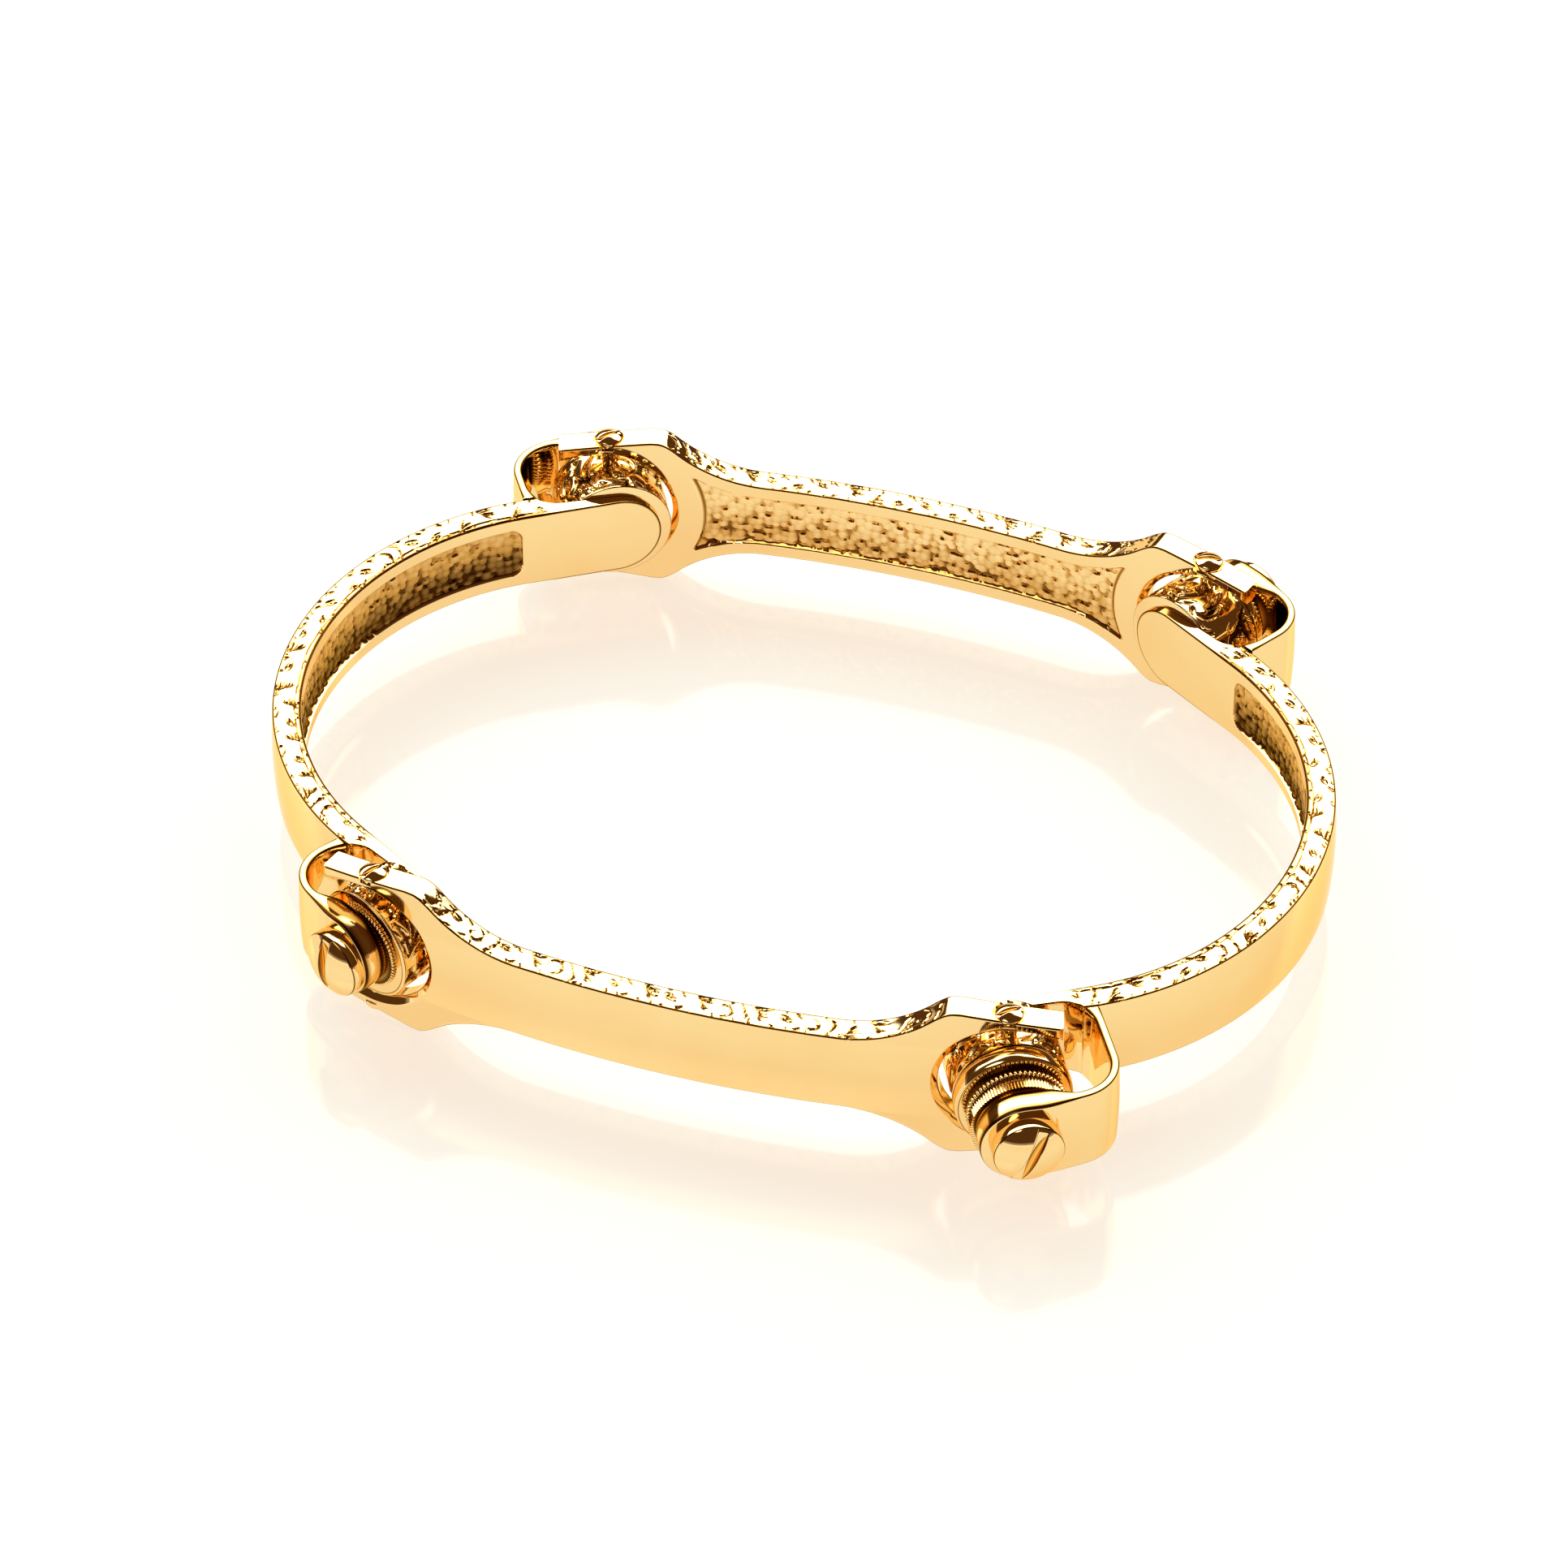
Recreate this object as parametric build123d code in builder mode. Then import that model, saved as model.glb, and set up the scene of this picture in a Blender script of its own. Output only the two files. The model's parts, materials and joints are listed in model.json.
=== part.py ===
from build123d import *
from math import acos, asin, atan2, cos, degrees, hypot, radians, sin, sqrt
import os

# A hinged bangle of four gold links: a front and a rear bar with forked ends, and a left and a
# right band whose ends are shackles. In each corner an engraved barrel sits in the fork, held by
# two pivot screws, and the shackle closes round it with one large slotted screw.
# Millimetres, +X along the bars, +Y to the rear, +Z up, origin under the middle of the bangle.
# One front screw stands further out than the rest, so the bars' and bands' own centre lies
# a little to the rear of the origin.

# ---- driving dimensions -----------------------------------------------------------------------
MID_Z = 5.6                   # half the height of a fork, and the level of every screw axis
BAND_HALF = 2.8               # half the height of the bands, the straps and the bars' waists

CENTRE_Y = 0.82               # the links' own centre, to the rear of the origin
PIVOT_X = 20.0                # the four vertical pivot axes stand at (+-PIVOT_X, CENTRE_Y +-PIVOT_Y)
BAR_RADIUS = 80.0             # plan radius of a bar's middle line
BAR_MIDDLE_Y = 24.34          # the middle line's distance from the centre at the bar's middle
BAR_THICK = 1.85
WAIST_END_X = 10.0            # where the waist begins to widen
SHOULDER_X = 16.3             # the corner where the shoulder meets the fork's flat land
LAND_END_X = 17.3             # the land is level up to here, and then falls towards the tip
ARM_PIVOT_HALF = 5.2          # half height of the fork at the pivot axis
ARM_REACH = 3.2               # from the pivot axis to the tip of an arm

JAW_RADIUS = 4.15             # the round opening of a fork
JAW_MOUTH_RADIUS = 9.0        # the flatter curve of the opening from the pivot to the arms' tips
JAW_BEVEL = 0.32              # bevel on both faces of the opening

JOINT_TILT = 28.0             # plan angle between +Y and the axis of a main screw
BAND_CENTRE_X = 13.45         # centre of a band's arc
BAND_OUTER_R = 20.2
BAND_THICK = 1.95
TONGUE_FACE = -3.0            # where the tongue meets the barrel, measured along the screw axis
TONGUE_TIP = -3.45            # wrist side of the tongue at its round end
HOLE_FLOOR = -3.45            # floor of the tapped hole in the tongue

STRAP_THICK = 0.56
STRAP_ROOT = 5.96             # how far behind the pivot axis the strap stands on the band
STRAP_CORNER_U = -6.3         # where the strap's two straight outer lines would meet
STRAP_BEND = 3.0              # the strap's outer bend; its inner bend is one thickness less
STRAP_FOOT = (-5.05, -5.47, -1.35)    # hollow inside the root: start, and the point it bends at
FOOT_BEND = 2.0
FOOT_END = -3.65              # where the hollow runs out on the tongue
BOSS_START = -1.3
BOSS_BEND = 5.0               # how softly the outside runs into the boss
SWELL_START = -3.12           # where the strap begins to thicken inwards
SWELL_END = -1.69
SWELL_BEND = 1.2

BARREL_RADIUS = 3.55
RIM_RADIUS = 3.62             # the barrel's plain rim, between its engraving and the collar
COLLAR_RADIUS = 3.1
SCREW_BORE = 1.16             # clearance hole of the main screw

SHANK_RADIUS = 1.1
THREAD_RADIUS = 0.9
TAPPED_RADIUS = 0.96
SCREW_TIP = -3.4
HEAD_RADIUS = 2.15
HEAD_EDGE = 0.85              # height of the main screw head's cylindrical edge
HEAD_DOME = 0.8
SLOT_WIDTH = 0.6
SLOT_DEPTH = 0.6

PIVOT_SHANK = 0.5
PIVOT_BORE = 0.56             # the pivot screw's running hole in the barrel
PIVOT_TIP = 1.8               # the pivot screw's tip and its hole's floor, above the screw axis
PIVOT_FLOOR = 1.7
PIVOT_HEAD = 0.85
PIVOT_HEAD_EDGE = 0.4
PIVOT_DOME = 0.28
SINK_RADIUS = 1.0             # counterbore of the pivot screw, a little wider than the arm
SINK_DEPTH = 0.3
PIVOT_SLOT = (0.26, 0.3)      # width and depth

RECESS_DEPTH = 0.35           # panels sunk into the wrist side of bars and bands
RECESS_BORDER = 0.9
RECESS_JAW_GAP = 6.1          # the bar's panel ends on this circle round the jaw
BAND_PANEL_Y = 15.2

# ---- values worked out from them --------------------------------------------------------------
BAR_CENTRE_Y = BAR_MIDDLE_Y - BAR_RADIUS
BAR_TILT = asin(PIVOT_X / BAR_RADIUS)
PIVOT_Y = BAR_CENTRE_Y + BAR_RADIUS * cos(BAR_TILT)
TIP_ANGLE = BAR_TILT + ARM_REACH / BAR_RADIUS
BAND_INNER_R = BAND_OUTER_R - BAND_THICK
AXIS_SIN = sin(radians(JOINT_TILT))
AXIS_COS = cos(radians(JOINT_TILT))

# the corners, each with the signs of its X and Y
CORNERS = {
    "front_left": (-1, -1),
    "front_right": (1, -1),
    "rear_left": (-1, 1),
    "rear_right": (1, 1),
}
# levels along the screw axis in each corner: start and end of the barrel's rim, inner and outer
# face of the boss, and the strap's outer corner; the collar fills the gap from rim to boss
LEVELS = {
    "front_left": (0.8, 0.95, 1.15, 2.8, 1.8),
    "front_right": (0.95, 2.2, 4.05, 5.7, 4.6),
    "rear_left": (0.95, 1.5, 2.2, 3.85, 2.75),
    "rear_right": (0.95, 1.5, 2.2, 3.85, 2.75),
}
# how far short of the usual half round a boss ends, along the tongue
NOSE_SHORT = {"front_left": 0.6, "front_right": 0.0, "rear_left": 0.0, "rear_right": 0.0}
# slot directions, in degrees: main screw from upright, pivot screw from +X
MAIN_SLOTS = {"front_left": 4, "front_right": -24, "rear_left": 38, "rear_right": -52}
PIVOT_SLOTS = {"front_left": 55, "front_right": 40, "rear_left": 48, "rear_right": 12}


class Corner:
    """The frame of one corner: along the screw axis outwards, and along the tongue to its tip."""

    def __init__(self, name):
        self.name = name
        self.x_sign, self.y_sign = CORNERS[name]
        self.pivot = Vector(self.x_sign * PIVOT_X, CENTRE_Y + self.y_sign * PIVOT_Y, MID_Z)
        self.out = Vector(self.x_sign * AXIS_SIN, self.y_sign * AXIS_COS, 0)
        self.along = Vector(-self.x_sign * AXIS_COS, self.y_sign * AXIS_SIN, 0)
        self.rim_start, self.rim_end, self.boss_inner, self.boss_outer, self.strap_corner = LEVELS[name]

    def point(self, along, out):
        """The plan position of a point given in this corner's frame."""
        place = self.pivot + self.along * along + self.out * out
        return (place.X, place.Y)

    def across(self, out=0.0):
        """A plane square to the screw axis, its X along the tongue."""
        return Plane(origin=self.pivot + self.out * out, x_dir=self.along, z_dir=self.out)

    def through(self):
        """The level plane of the screw axis, X along the tongue and Y outwards."""
        return Plane(origin=self.pivot, x_dir=self.along, z_dir=(0, 0, -self.x_sign * self.y_sign))

    def axis(self):
        return Axis(self.pivot, self.out)


CORNER = {name: Corner(name) for name in CORNERS}
ELEVATION = Plane(origin=(0, 0, MID_Z), x_dir=(1, 0, 0), z_dir=(0, -1, 0))
DEEP = 60.0                   # longer than any part of the bangle, for cuts that go right through


def strap_root_level():
    """Where a band's outer arc lies, along the screw axis, at the strap's root."""
    to_centre = Vector(BAND_CENTRE_X - PIVOT_X, -PIVOT_Y, 0)
    along = Vector(-AXIS_COS, AXIS_SIN, 0)
    out = Vector(AXIS_SIN, AXIS_COS, 0)
    offset = -STRAP_ROOT - to_centre.dot(along)
    return to_centre.dot(out) + sqrt(BAND_OUTER_R**2 - offset**2)


ROOT_LEVEL = strap_root_level()


def bar_plan(side, inner_radius, outer_radius, half_angle):
    """A curved strip in plan, the outline of a bar or of its panel."""

    def at(radius, angle):
        return (radius * sin(angle), CENTRE_Y + side * (BAR_CENTRE_Y + radius * cos(angle)))

    with BuildSketch() as plan:
        with BuildLine():
            outer, inner = (
                ThreePointArc(at(radius, -half_angle), at(radius, 0), at(radius, half_angle))
                for radius in (outer_radius, inner_radius)
            )
            Line(outer @ 0, inner @ 0)
            Line(outer @ 1, inner @ 1)
        make_face()
    return plan.sketch


def bar_elevation():
    """The spanner outline of a bar seen from the front: waist, shoulders and falling flats."""
    fall = (MID_Z - ARM_PIVOT_HALF) / (PIVOT_X - LAND_END_X)
    end_x = PIVOT_X + 2 * ARM_REACH
    with BuildSketch() as outline:
        with BuildLine():
            waist = Line((0, BAND_HALF), (WAIST_END_X, BAND_HALF))
            shoulder = TangentArc(waist @ 1, (SHOULDER_X, MID_Z), tangent=waist % 1)
            land = Line(shoulder @ 1, (LAND_END_X, MID_Z))
            flat = Line(land @ 1, (end_x, MID_Z - (end_x - LAND_END_X) * fall))
            Polyline(flat @ 1, (end_x, 0), (0, 0), waist @ 0)
        make_face()
        mirror(about=Plane.XZ)
        mirror(about=Plane.YZ)
    return outline.sketch


def make_bar_panel(side):
    """The space of a bar's sunk panel: its border follows the waist, its ends follow the jaws."""
    face_radius = BAR_RADIUS - BAR_THICK / 2
    outline = bar_elevation()
    with BuildPart() as panel:
        strip = bar_plan(side, face_radius - BAR_THICK, face_radius + RECESS_DEPTH, BAR_TILT)
        extrude(strip, amount=2 * MID_Z)
        with BuildSketch(ELEVATION):
            add(outline)
            offset(amount=-RECESS_BORDER)
            with Locations((-PIVOT_X, 0), (PIVOT_X, 0)):
                Circle(RECESS_JAW_GAP, mode=Mode.SUBTRACT)
        extrude(amount=DEEP, both=True, mode=Mode.INTERSECT)
    return panel.part


def jaw_outline(wider, hand):
    """The fork's opening: a half circle behind the pivot, and a flatter mouth towards the tips."""
    radius, mouth = JAW_RADIUS + wider, JAW_MOUTH_RADIUS + wider
    lift = mouth - radius
    half = sqrt(mouth**2 - ARM_REACH**2) - lift
    far = (half, 2 * ARM_REACH * hand)
    with BuildSketch() as outline:
        with BuildLine():
            ThreePointArc((radius, 0), (0, -radius * hand), (-radius, 0))
            for up in (-1, 1):
                middle = sqrt(mouth**2 - ARM_REACH**2 / 4) - lift
                tip = (up * half, ARM_REACH * hand)
                ThreePointArc((up * radius, 0), (up * middle, ARM_REACH / 2 * hand), tip)
                Line(tip, (up * far[0], far[1]))
            Line((-far[0], far[1]), far)
        make_face()
    return outline.sketch


def make_bar(side, name):
    """A curved bar with a forked jaw and two counterbored, tapped holes at each end."""
    panel = make_bar_panel(side)
    plan = bar_plan(side, BAR_RADIUS - BAR_THICK / 2, BAR_RADIUS + BAR_THICK / 2, TIP_ANGLE)
    outline = bar_elevation()
    with BuildPart() as bar:
        extrude(plan, amount=2 * MID_Z)
        with BuildSketch(ELEVATION):
            add(outline)
        extrude(amount=DEEP, both=True, mode=Mode.INTERSECT)
        add(panel, mode=Mode.SUBTRACT)
        for hand in (-1, 1):
            pivot = (hand * PIVOT_X, CENTRE_Y + side * PIVOT_Y, MID_Z)
            jaw = Plane(origin=pivot, x_dir=(0, 0, 1), z_dir=(hand * sin(BAR_TILT), side * cos(BAR_TILT), 0))
            with BuildSketch(jaw):
                add(jaw_outline(0.0, hand * side))
            extrude(amount=2 * BAR_THICK, both=True, mode=Mode.SUBTRACT)
            for face in (-1, 1):
                reach = BAR_THICK / 2 + JAW_BEVEL
                with BuildSketch(jaw.offset(face * reach)):
                    add(jaw_outline(2 * JAW_BEVEL, hand * side))
                extrude(amount=-face * 2 * JAW_BEVEL, taper=45, mode=Mode.SUBTRACT)
            for end in (-1, 1):
                floor = Plane(origin=(pivot[0], pivot[1], MID_Z), z_dir=(0, 0, end))
                with BuildSketch(floor.offset(ARM_PIVOT_HALF - SINK_DEPTH)):
                    Circle(SINK_RADIUS)
                extrude(amount=2 * SINK_DEPTH, mode=Mode.SUBTRACT)
                with BuildSketch(floor.offset(JAW_RADIUS / 2)):
                    Circle(PIVOT_SHANK)
                extrude(amount=MID_Z, mode=Mode.SUBTRACT)
    bar.part.label = name
    return bar.part


def make_end_cutter(corner, short=0.0):
    """Cuts the leaf of a shackle to a half round, concentric with the main screw unless short."""
    with BuildPart() as cutter:
        with BuildSketch(corner.across()):
            with Locations((2 * BAND_HALF - short, 0)):
                Rectangle(4 * BAND_HALF, 4 * BAND_HALF)
            with Locations((-short, 0)):
                Circle(BAND_HALF, mode=Mode.SUBTRACT)
        extrude(amount=2 * BAND_HALF, both=True)
    return cutter.part


def make_band(hand, name):
    """An arched band, its ends thinned to round tongues with a tapped hole for the main screw."""
    ends = [corner for corner in CORNER.values() if corner.x_sign == hand]
    centre = (hand * BAND_CENTRE_X, CENTRE_Y)
    panel = make_band_panel(hand)
    cutters = [make_end_cutter(corner) for corner in ends]
    with BuildPart() as band:
        with BuildSketch(Plane.XY.offset(MID_Z - BAND_HALF)):
            with BuildLine():
                tangents = []
                roots = []
                for corner in ends:
                    root = corner.point(-STRAP_ROOT, ROOT_LEVEL)
                    inside = corner.point(STRAP_FOOT[0], ROOT_LEVEL)
                    face = corner.point(FOOT_END, TONGUE_FACE)
                    tip = corner.point(BAND_HALF, TONGUE_TIP)
                    Line(root, inside)
                    TangentArc(face, inside, tangent=(-corner.along.X, -corner.along.Y))
                    Polyline(face, corner.point(BAND_HALF, TONGUE_FACE), tip)
                    # the wrist side runs straight from the tongue's tip to touch the inner arc
                    away = (hand * (tip[0] - centre[0]), corner.y_sign * (tip[1] - centre[1]))
                    turn = atan2(away[1], away[0]) - acos(BAND_INNER_R / hypot(*away))
                    touch = (
                        centre[0] + hand * BAND_INNER_R * cos(turn),
                        centre[1] + corner.y_sign * BAND_INNER_R * sin(turn),
                    )
                    Line(tip, touch)
                    tangents.append(touch)
                    roots.append(root)
                ThreePointArc(roots[0], (centre[0] + hand * BAND_OUTER_R, centre[1]), roots[1])
                ThreePointArc(tangents[0], (centre[0] + hand * BAND_INNER_R, centre[1]), tangents[1])
            make_face()
        extrude(amount=2 * BAND_HALF)
        add(cutters, mode=Mode.SUBTRACT)
        add(panel, mode=Mode.SUBTRACT)
        for corner in ends:
            with BuildSketch(corner.across(TONGUE_FACE)):
                Circle(TAPPED_RADIUS)
            extrude(amount=HOLE_FLOOR - TONGUE_FACE, mode=Mode.SUBTRACT)
    band.part.label = name
    return band.part


def make_band_panel(hand):
    """The space of a band's sunk panel, a long strip with rounded corners."""
    with BuildPart() as panel:
        with BuildSketch():
            with Locations((hand * BAND_CENTRE_X, CENTRE_Y)):
                Circle(BAND_INNER_R + RECESS_DEPTH)
        extrude(amount=2 * MID_Z)
        side_view = Plane(origin=(hand * BAND_CENTRE_X, CENTRE_Y, MID_Z), x_dir=(0, 1, 0), z_dir=(hand, 0, 0))
        with BuildSketch(side_view):
            RectangleRounded(2 * BAND_PANEL_Y, 2 * (BAND_HALF - RECESS_BORDER), RECESS_BORDER)
        extrude(amount=DEEP, mode=Mode.INTERSECT)
    return panel.part


def make_loop(corner, name):
    """The outer leaf of a shackle: a strap that turns round the fork and ends in a boss."""
    corner_u, corner_n = STRAP_CORNER_U, corner.strap_corner
    rise = (corner.boss_outer - corner_n) / (BOSS_START - corner_u)
    # the inner line of the strap's straight run, one thickness inside its outer line
    inner_n = corner_n - STRAP_THICK * sqrt(1 + rise**2)
    cutter = make_end_cutter(corner, NOSE_SHORT[corner.name])
    with BuildPart() as loop:
        with BuildSketch(Plane.XY.offset(MID_Z - BAND_HALF)):
            with BuildLine():
                outside = FilletPolyline(
                    corner.point(-STRAP_ROOT, ROOT_LEVEL),
                    corner.point(corner_u, corner_n),
                    corner.point(BOSS_START, corner.boss_outer),
                    corner.point(BAND_HALF, corner.boss_outer),
                    radius=[STRAP_BEND, BOSS_BEND],
                )
                inside = FilletPolyline(
                    corner.point(STRAP_FOOT[0], ROOT_LEVEL),
                    corner.point(STRAP_FOOT[1], STRAP_FOOT[2]),
                    corner.point(corner_u + STRAP_THICK, inner_n + rise * STRAP_THICK),
                    corner.point(SWELL_START, inner_n + rise * (SWELL_START - corner_u)),
                    corner.point(SWELL_END, corner.boss_inner),
                    corner.point(BAND_HALF, corner.boss_inner),
                    radius=[FOOT_BEND, STRAP_BEND - STRAP_THICK, SWELL_BEND, SWELL_BEND],
                )
                Line(outside @ 0, inside @ 0)
                Line(outside @ 1, inside @ 1)
            make_face()
        extrude(amount=2 * BAND_HALF)
        add(cutter, mode=Mode.SUBTRACT)
        with BuildSketch(corner.across()):
            Circle(SCREW_BORE)
        extrude(amount=2 * corner.boss_outer, mode=Mode.SUBTRACT)
    loop.part.label = name
    return loop.part


def make_barrel(corner, name):
    """The engraved barrel: bored for the main screw, and drilled above and below for its pivots."""
    with BuildPart() as barrel:
        with BuildSketch(corner.across(TONGUE_FACE)):
            Circle(BARREL_RADIUS)
        extrude(amount=corner.rim_start - TONGUE_FACE)
        with BuildSketch(corner.across(corner.rim_start)):
            Circle(RIM_RADIUS)
        extrude(amount=corner.rim_end - corner.rim_start)
        with BuildSketch(corner.across(TONGUE_FACE)):
            Circle(SCREW_BORE)
        extrude(amount=corner.rim_end - TONGUE_FACE, mode=Mode.SUBTRACT)
        for end in (-1, 1):
            drilled = Plane(origin=corner.pivot, z_dir=(0, 0, end))
            with BuildSketch(drilled.offset(PIVOT_FLOOR)):
                Circle(PIVOT_BORE)
            extrude(amount=BARREL_RADIUS, mode=Mode.SUBTRACT)
    barrel.part.label = name
    return barrel.part


def make_collar(corner, name):
    """The collar between the barrel's rim and the boss."""
    with BuildPart() as collar:
        with BuildSketch(corner.across(corner.rim_end)):
            Circle(COLLAR_RADIUS)
            Circle(SCREW_BORE, mode=Mode.SUBTRACT)
        extrude(amount=corner.boss_inner - corner.rim_end)
    collar.part.label = name
    return collar.part


def dome_middle(radius, edge, height):
    """A point on the dome's arc, halfway round from its edge to its crown."""
    ball = (radius**2 + height**2) / (2 * height)
    half = asin(radius / ball) / 2
    return (ball * sin(half), edge + height - ball * (1 - cos(half)))


def make_main_screw(corner, name):
    """The large slotted screw: domed head, plain shank, and a short thread for the tongue."""
    edge = corner.boss_outer + HEAD_EDGE
    crown = edge + HEAD_DOME
    with BuildPart() as screw:
        with BuildSketch(corner.through()):
            with BuildLine():
                Polyline(
                    (0, SCREW_TIP),
                    (THREAD_RADIUS, SCREW_TIP),
                    (THREAD_RADIUS, TONGUE_FACE),
                    (SHANK_RADIUS, TONGUE_FACE),
                    (SHANK_RADIUS, corner.boss_outer),
                    (HEAD_RADIUS, corner.boss_outer),
                    (HEAD_RADIUS, edge),
                )
                ThreePointArc((HEAD_RADIUS, edge), dome_middle(HEAD_RADIUS, edge, HEAD_DOME), (0, crown))
                Line((0, crown), (0, SCREW_TIP))
            make_face()
        revolve(axis=corner.axis())
        with BuildSketch(corner.across(crown)):
            Rectangle(SLOT_WIDTH, 3 * HEAD_RADIUS, rotation=MAIN_SLOTS[corner.name])
        extrude(amount=-SLOT_DEPTH, mode=Mode.SUBTRACT)
    screw.part.label = name
    return screw.part


def make_pivot_screw(corner, end, name):
    """A short slotted screw, tapped through an arm, whose plain tip turns in the barrel."""
    under_head = ARM_PIVOT_HALF - SINK_DEPTH
    edge = under_head + PIVOT_HEAD_EDGE
    crown = edge + PIVOT_DOME
    upright = Plane(origin=corner.pivot, x_dir=(1, 0, 0), z_dir=(0, -end, 0))
    with BuildPart() as screw:
        with BuildSketch(upright):
            with BuildLine():
                Polyline(
                    (0, PIVOT_TIP),
                    (PIVOT_SHANK, PIVOT_TIP),
                    (PIVOT_SHANK, under_head),
                    (PIVOT_HEAD, under_head),
                    (PIVOT_HEAD, edge),
                )
                ThreePointArc((PIVOT_HEAD, edge), dome_middle(PIVOT_HEAD, edge, PIVOT_DOME), (0, crown))
                Line((0, crown), (0, PIVOT_TIP))
            make_face()
        revolve(axis=Axis(corner.pivot, (0, 0, 1)))
        with BuildSketch(Plane(origin=corner.pivot, z_dir=(0, 0, end)).offset(crown)):
            Rectangle(3 * PIVOT_HEAD, PIVOT_SLOT[0], rotation=PIVOT_SLOTS[corner.name])
        extrude(amount=-PIVOT_SLOT[1], mode=Mode.SUBTRACT)
    screw.part.label = name
    return screw.part


pieces = [
    make_bar(-1, "front_bar"),
    make_bar(1, "rear_bar"),
    make_band(-1, "left_band"),
    make_band(1, "right_band"),
]
for where, corner in CORNER.items():
    pieces.append(make_loop(corner, f"{where}_loop"))
    pieces.append(make_barrel(corner, f"{where}_barrel"))
    pieces.append(make_collar(corner, f"{where}_milled_collar"))
    pieces.append(make_main_screw(corner, f"{where}_main_screw"))
    pieces.append(make_pivot_screw(corner, 1, f"{where}_upper_pivot_screw"))
    pieces.append(make_pivot_screw(corner, -1, f"{where}_lower_pivot_screw"))

os.makedirs("parts", exist_ok=True)
for piece in pieces:
    export_step(piece, f"parts/{piece.label}.step")

print("pivot axes at x", PIVOT_X, "y", round(PIVOT_Y, 3), "and bar tilt", round(degrees(BAR_TILT), 2))
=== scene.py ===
"""The looks of a hinged gold bangle: four links, engraved barrels and slotted screws.

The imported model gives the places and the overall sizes. Each link and each fitting is made here
as a fine closed mesh, with its chased edges, pebbled panels, milling and screw slots as geometry.
Lengths inside the mesh code are millimetres; Skin.build turns them into metres.
"""

import json
import logging
import math
from dataclasses import dataclass
from enum import Enum
from typing import Optional, Sequence, Union

import bmesh
import bpy
import numpy as np
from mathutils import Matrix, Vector


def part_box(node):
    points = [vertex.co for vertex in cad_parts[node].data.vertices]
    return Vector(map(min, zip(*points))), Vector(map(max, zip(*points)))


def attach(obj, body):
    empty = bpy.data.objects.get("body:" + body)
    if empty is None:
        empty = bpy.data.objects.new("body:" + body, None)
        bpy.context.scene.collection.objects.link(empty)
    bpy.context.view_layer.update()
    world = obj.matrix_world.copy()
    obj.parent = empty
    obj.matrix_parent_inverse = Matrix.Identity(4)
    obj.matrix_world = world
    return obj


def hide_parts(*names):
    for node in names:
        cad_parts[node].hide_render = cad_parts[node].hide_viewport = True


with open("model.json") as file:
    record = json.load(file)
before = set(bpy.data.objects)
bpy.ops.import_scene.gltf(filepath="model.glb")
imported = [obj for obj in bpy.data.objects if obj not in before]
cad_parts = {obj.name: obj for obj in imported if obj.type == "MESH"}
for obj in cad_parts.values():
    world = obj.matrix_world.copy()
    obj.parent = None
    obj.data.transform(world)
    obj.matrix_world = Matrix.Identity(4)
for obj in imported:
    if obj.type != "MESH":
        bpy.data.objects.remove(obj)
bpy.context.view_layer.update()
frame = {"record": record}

LOG = logging.getLogger("bangle")
MM = 0.001
Array = np.ndarray


# ------------------------------------------------------------------ places read from the frame


class Corner(Enum):
    """The four corners of the bangle, with the signs of their X and Y."""

    FRONT_LEFT = (-1, -1)
    FRONT_RIGHT = (1, -1)
    REAR_LEFT = (-1, 1)
    REAR_RIGHT = (1, 1)

    @property
    def label(self) -> str:
        """The corner's name as the nodes spell it."""
        return self.name.lower()

    @property
    def band_body(self) -> str:
        """The body of the band that this corner belongs to."""
        return "left_link" if self.value[0] < 0 else "right_link"

    @property
    def bar_body(self) -> str:
        """The body of the bar that this corner belongs to."""
        return "front_link" if self.value[1] < 0 else "rear_link"


@dataclass(frozen=True)
class Levels:
    """Where a corner's fittings begin and end along its screw axis."""

    rim_start: float = 0.95
    rim_end: float = 1.5
    boss_inner: float = 2.2
    boss_outer: float = 3.85
    strap_corner: float = 2.75
    nose_short: float = 0.0


LEVELS = {
    Corner.FRONT_LEFT: Levels(0.8, 0.95, 1.15, 2.8, 1.8, 0.6),
    Corner.FRONT_RIGHT: Levels(0.95, 2.2, 4.05, 5.7, 4.6),
}


def node_span(node: str) -> tuple[Array, Array]:
    """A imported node's lowest and highest corner.

    Args:
        node: The node's name.

    Returns:
        The two corners, in millimetres.
    """
    low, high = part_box(node)
    return np.array(low) / MM, np.array(high) / MM


def joint_facts(name: str) -> dict:
    """A joint of the record.

    Args:
        name: The joint's name.

    Returns:
        The joint's entry in the record.
    """
    joints = frame["record"]["behaviour"]["joints"]
    return next(joint for joint in joints if joint["name"] == name)


def pivot_place(name: str) -> Array:
    """A pivot's place in the row frame, in millimetres."""
    return np.array(joint_facts(name)["pos_m"]) / MM


# the links' own centre; the mesh code below works from it, and Skin.build adds it
CENTRE = (pivot_place("front_left_pivot") + pivot_place("rear_left_pivot")) / 2 * (0, 1, 0)


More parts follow.
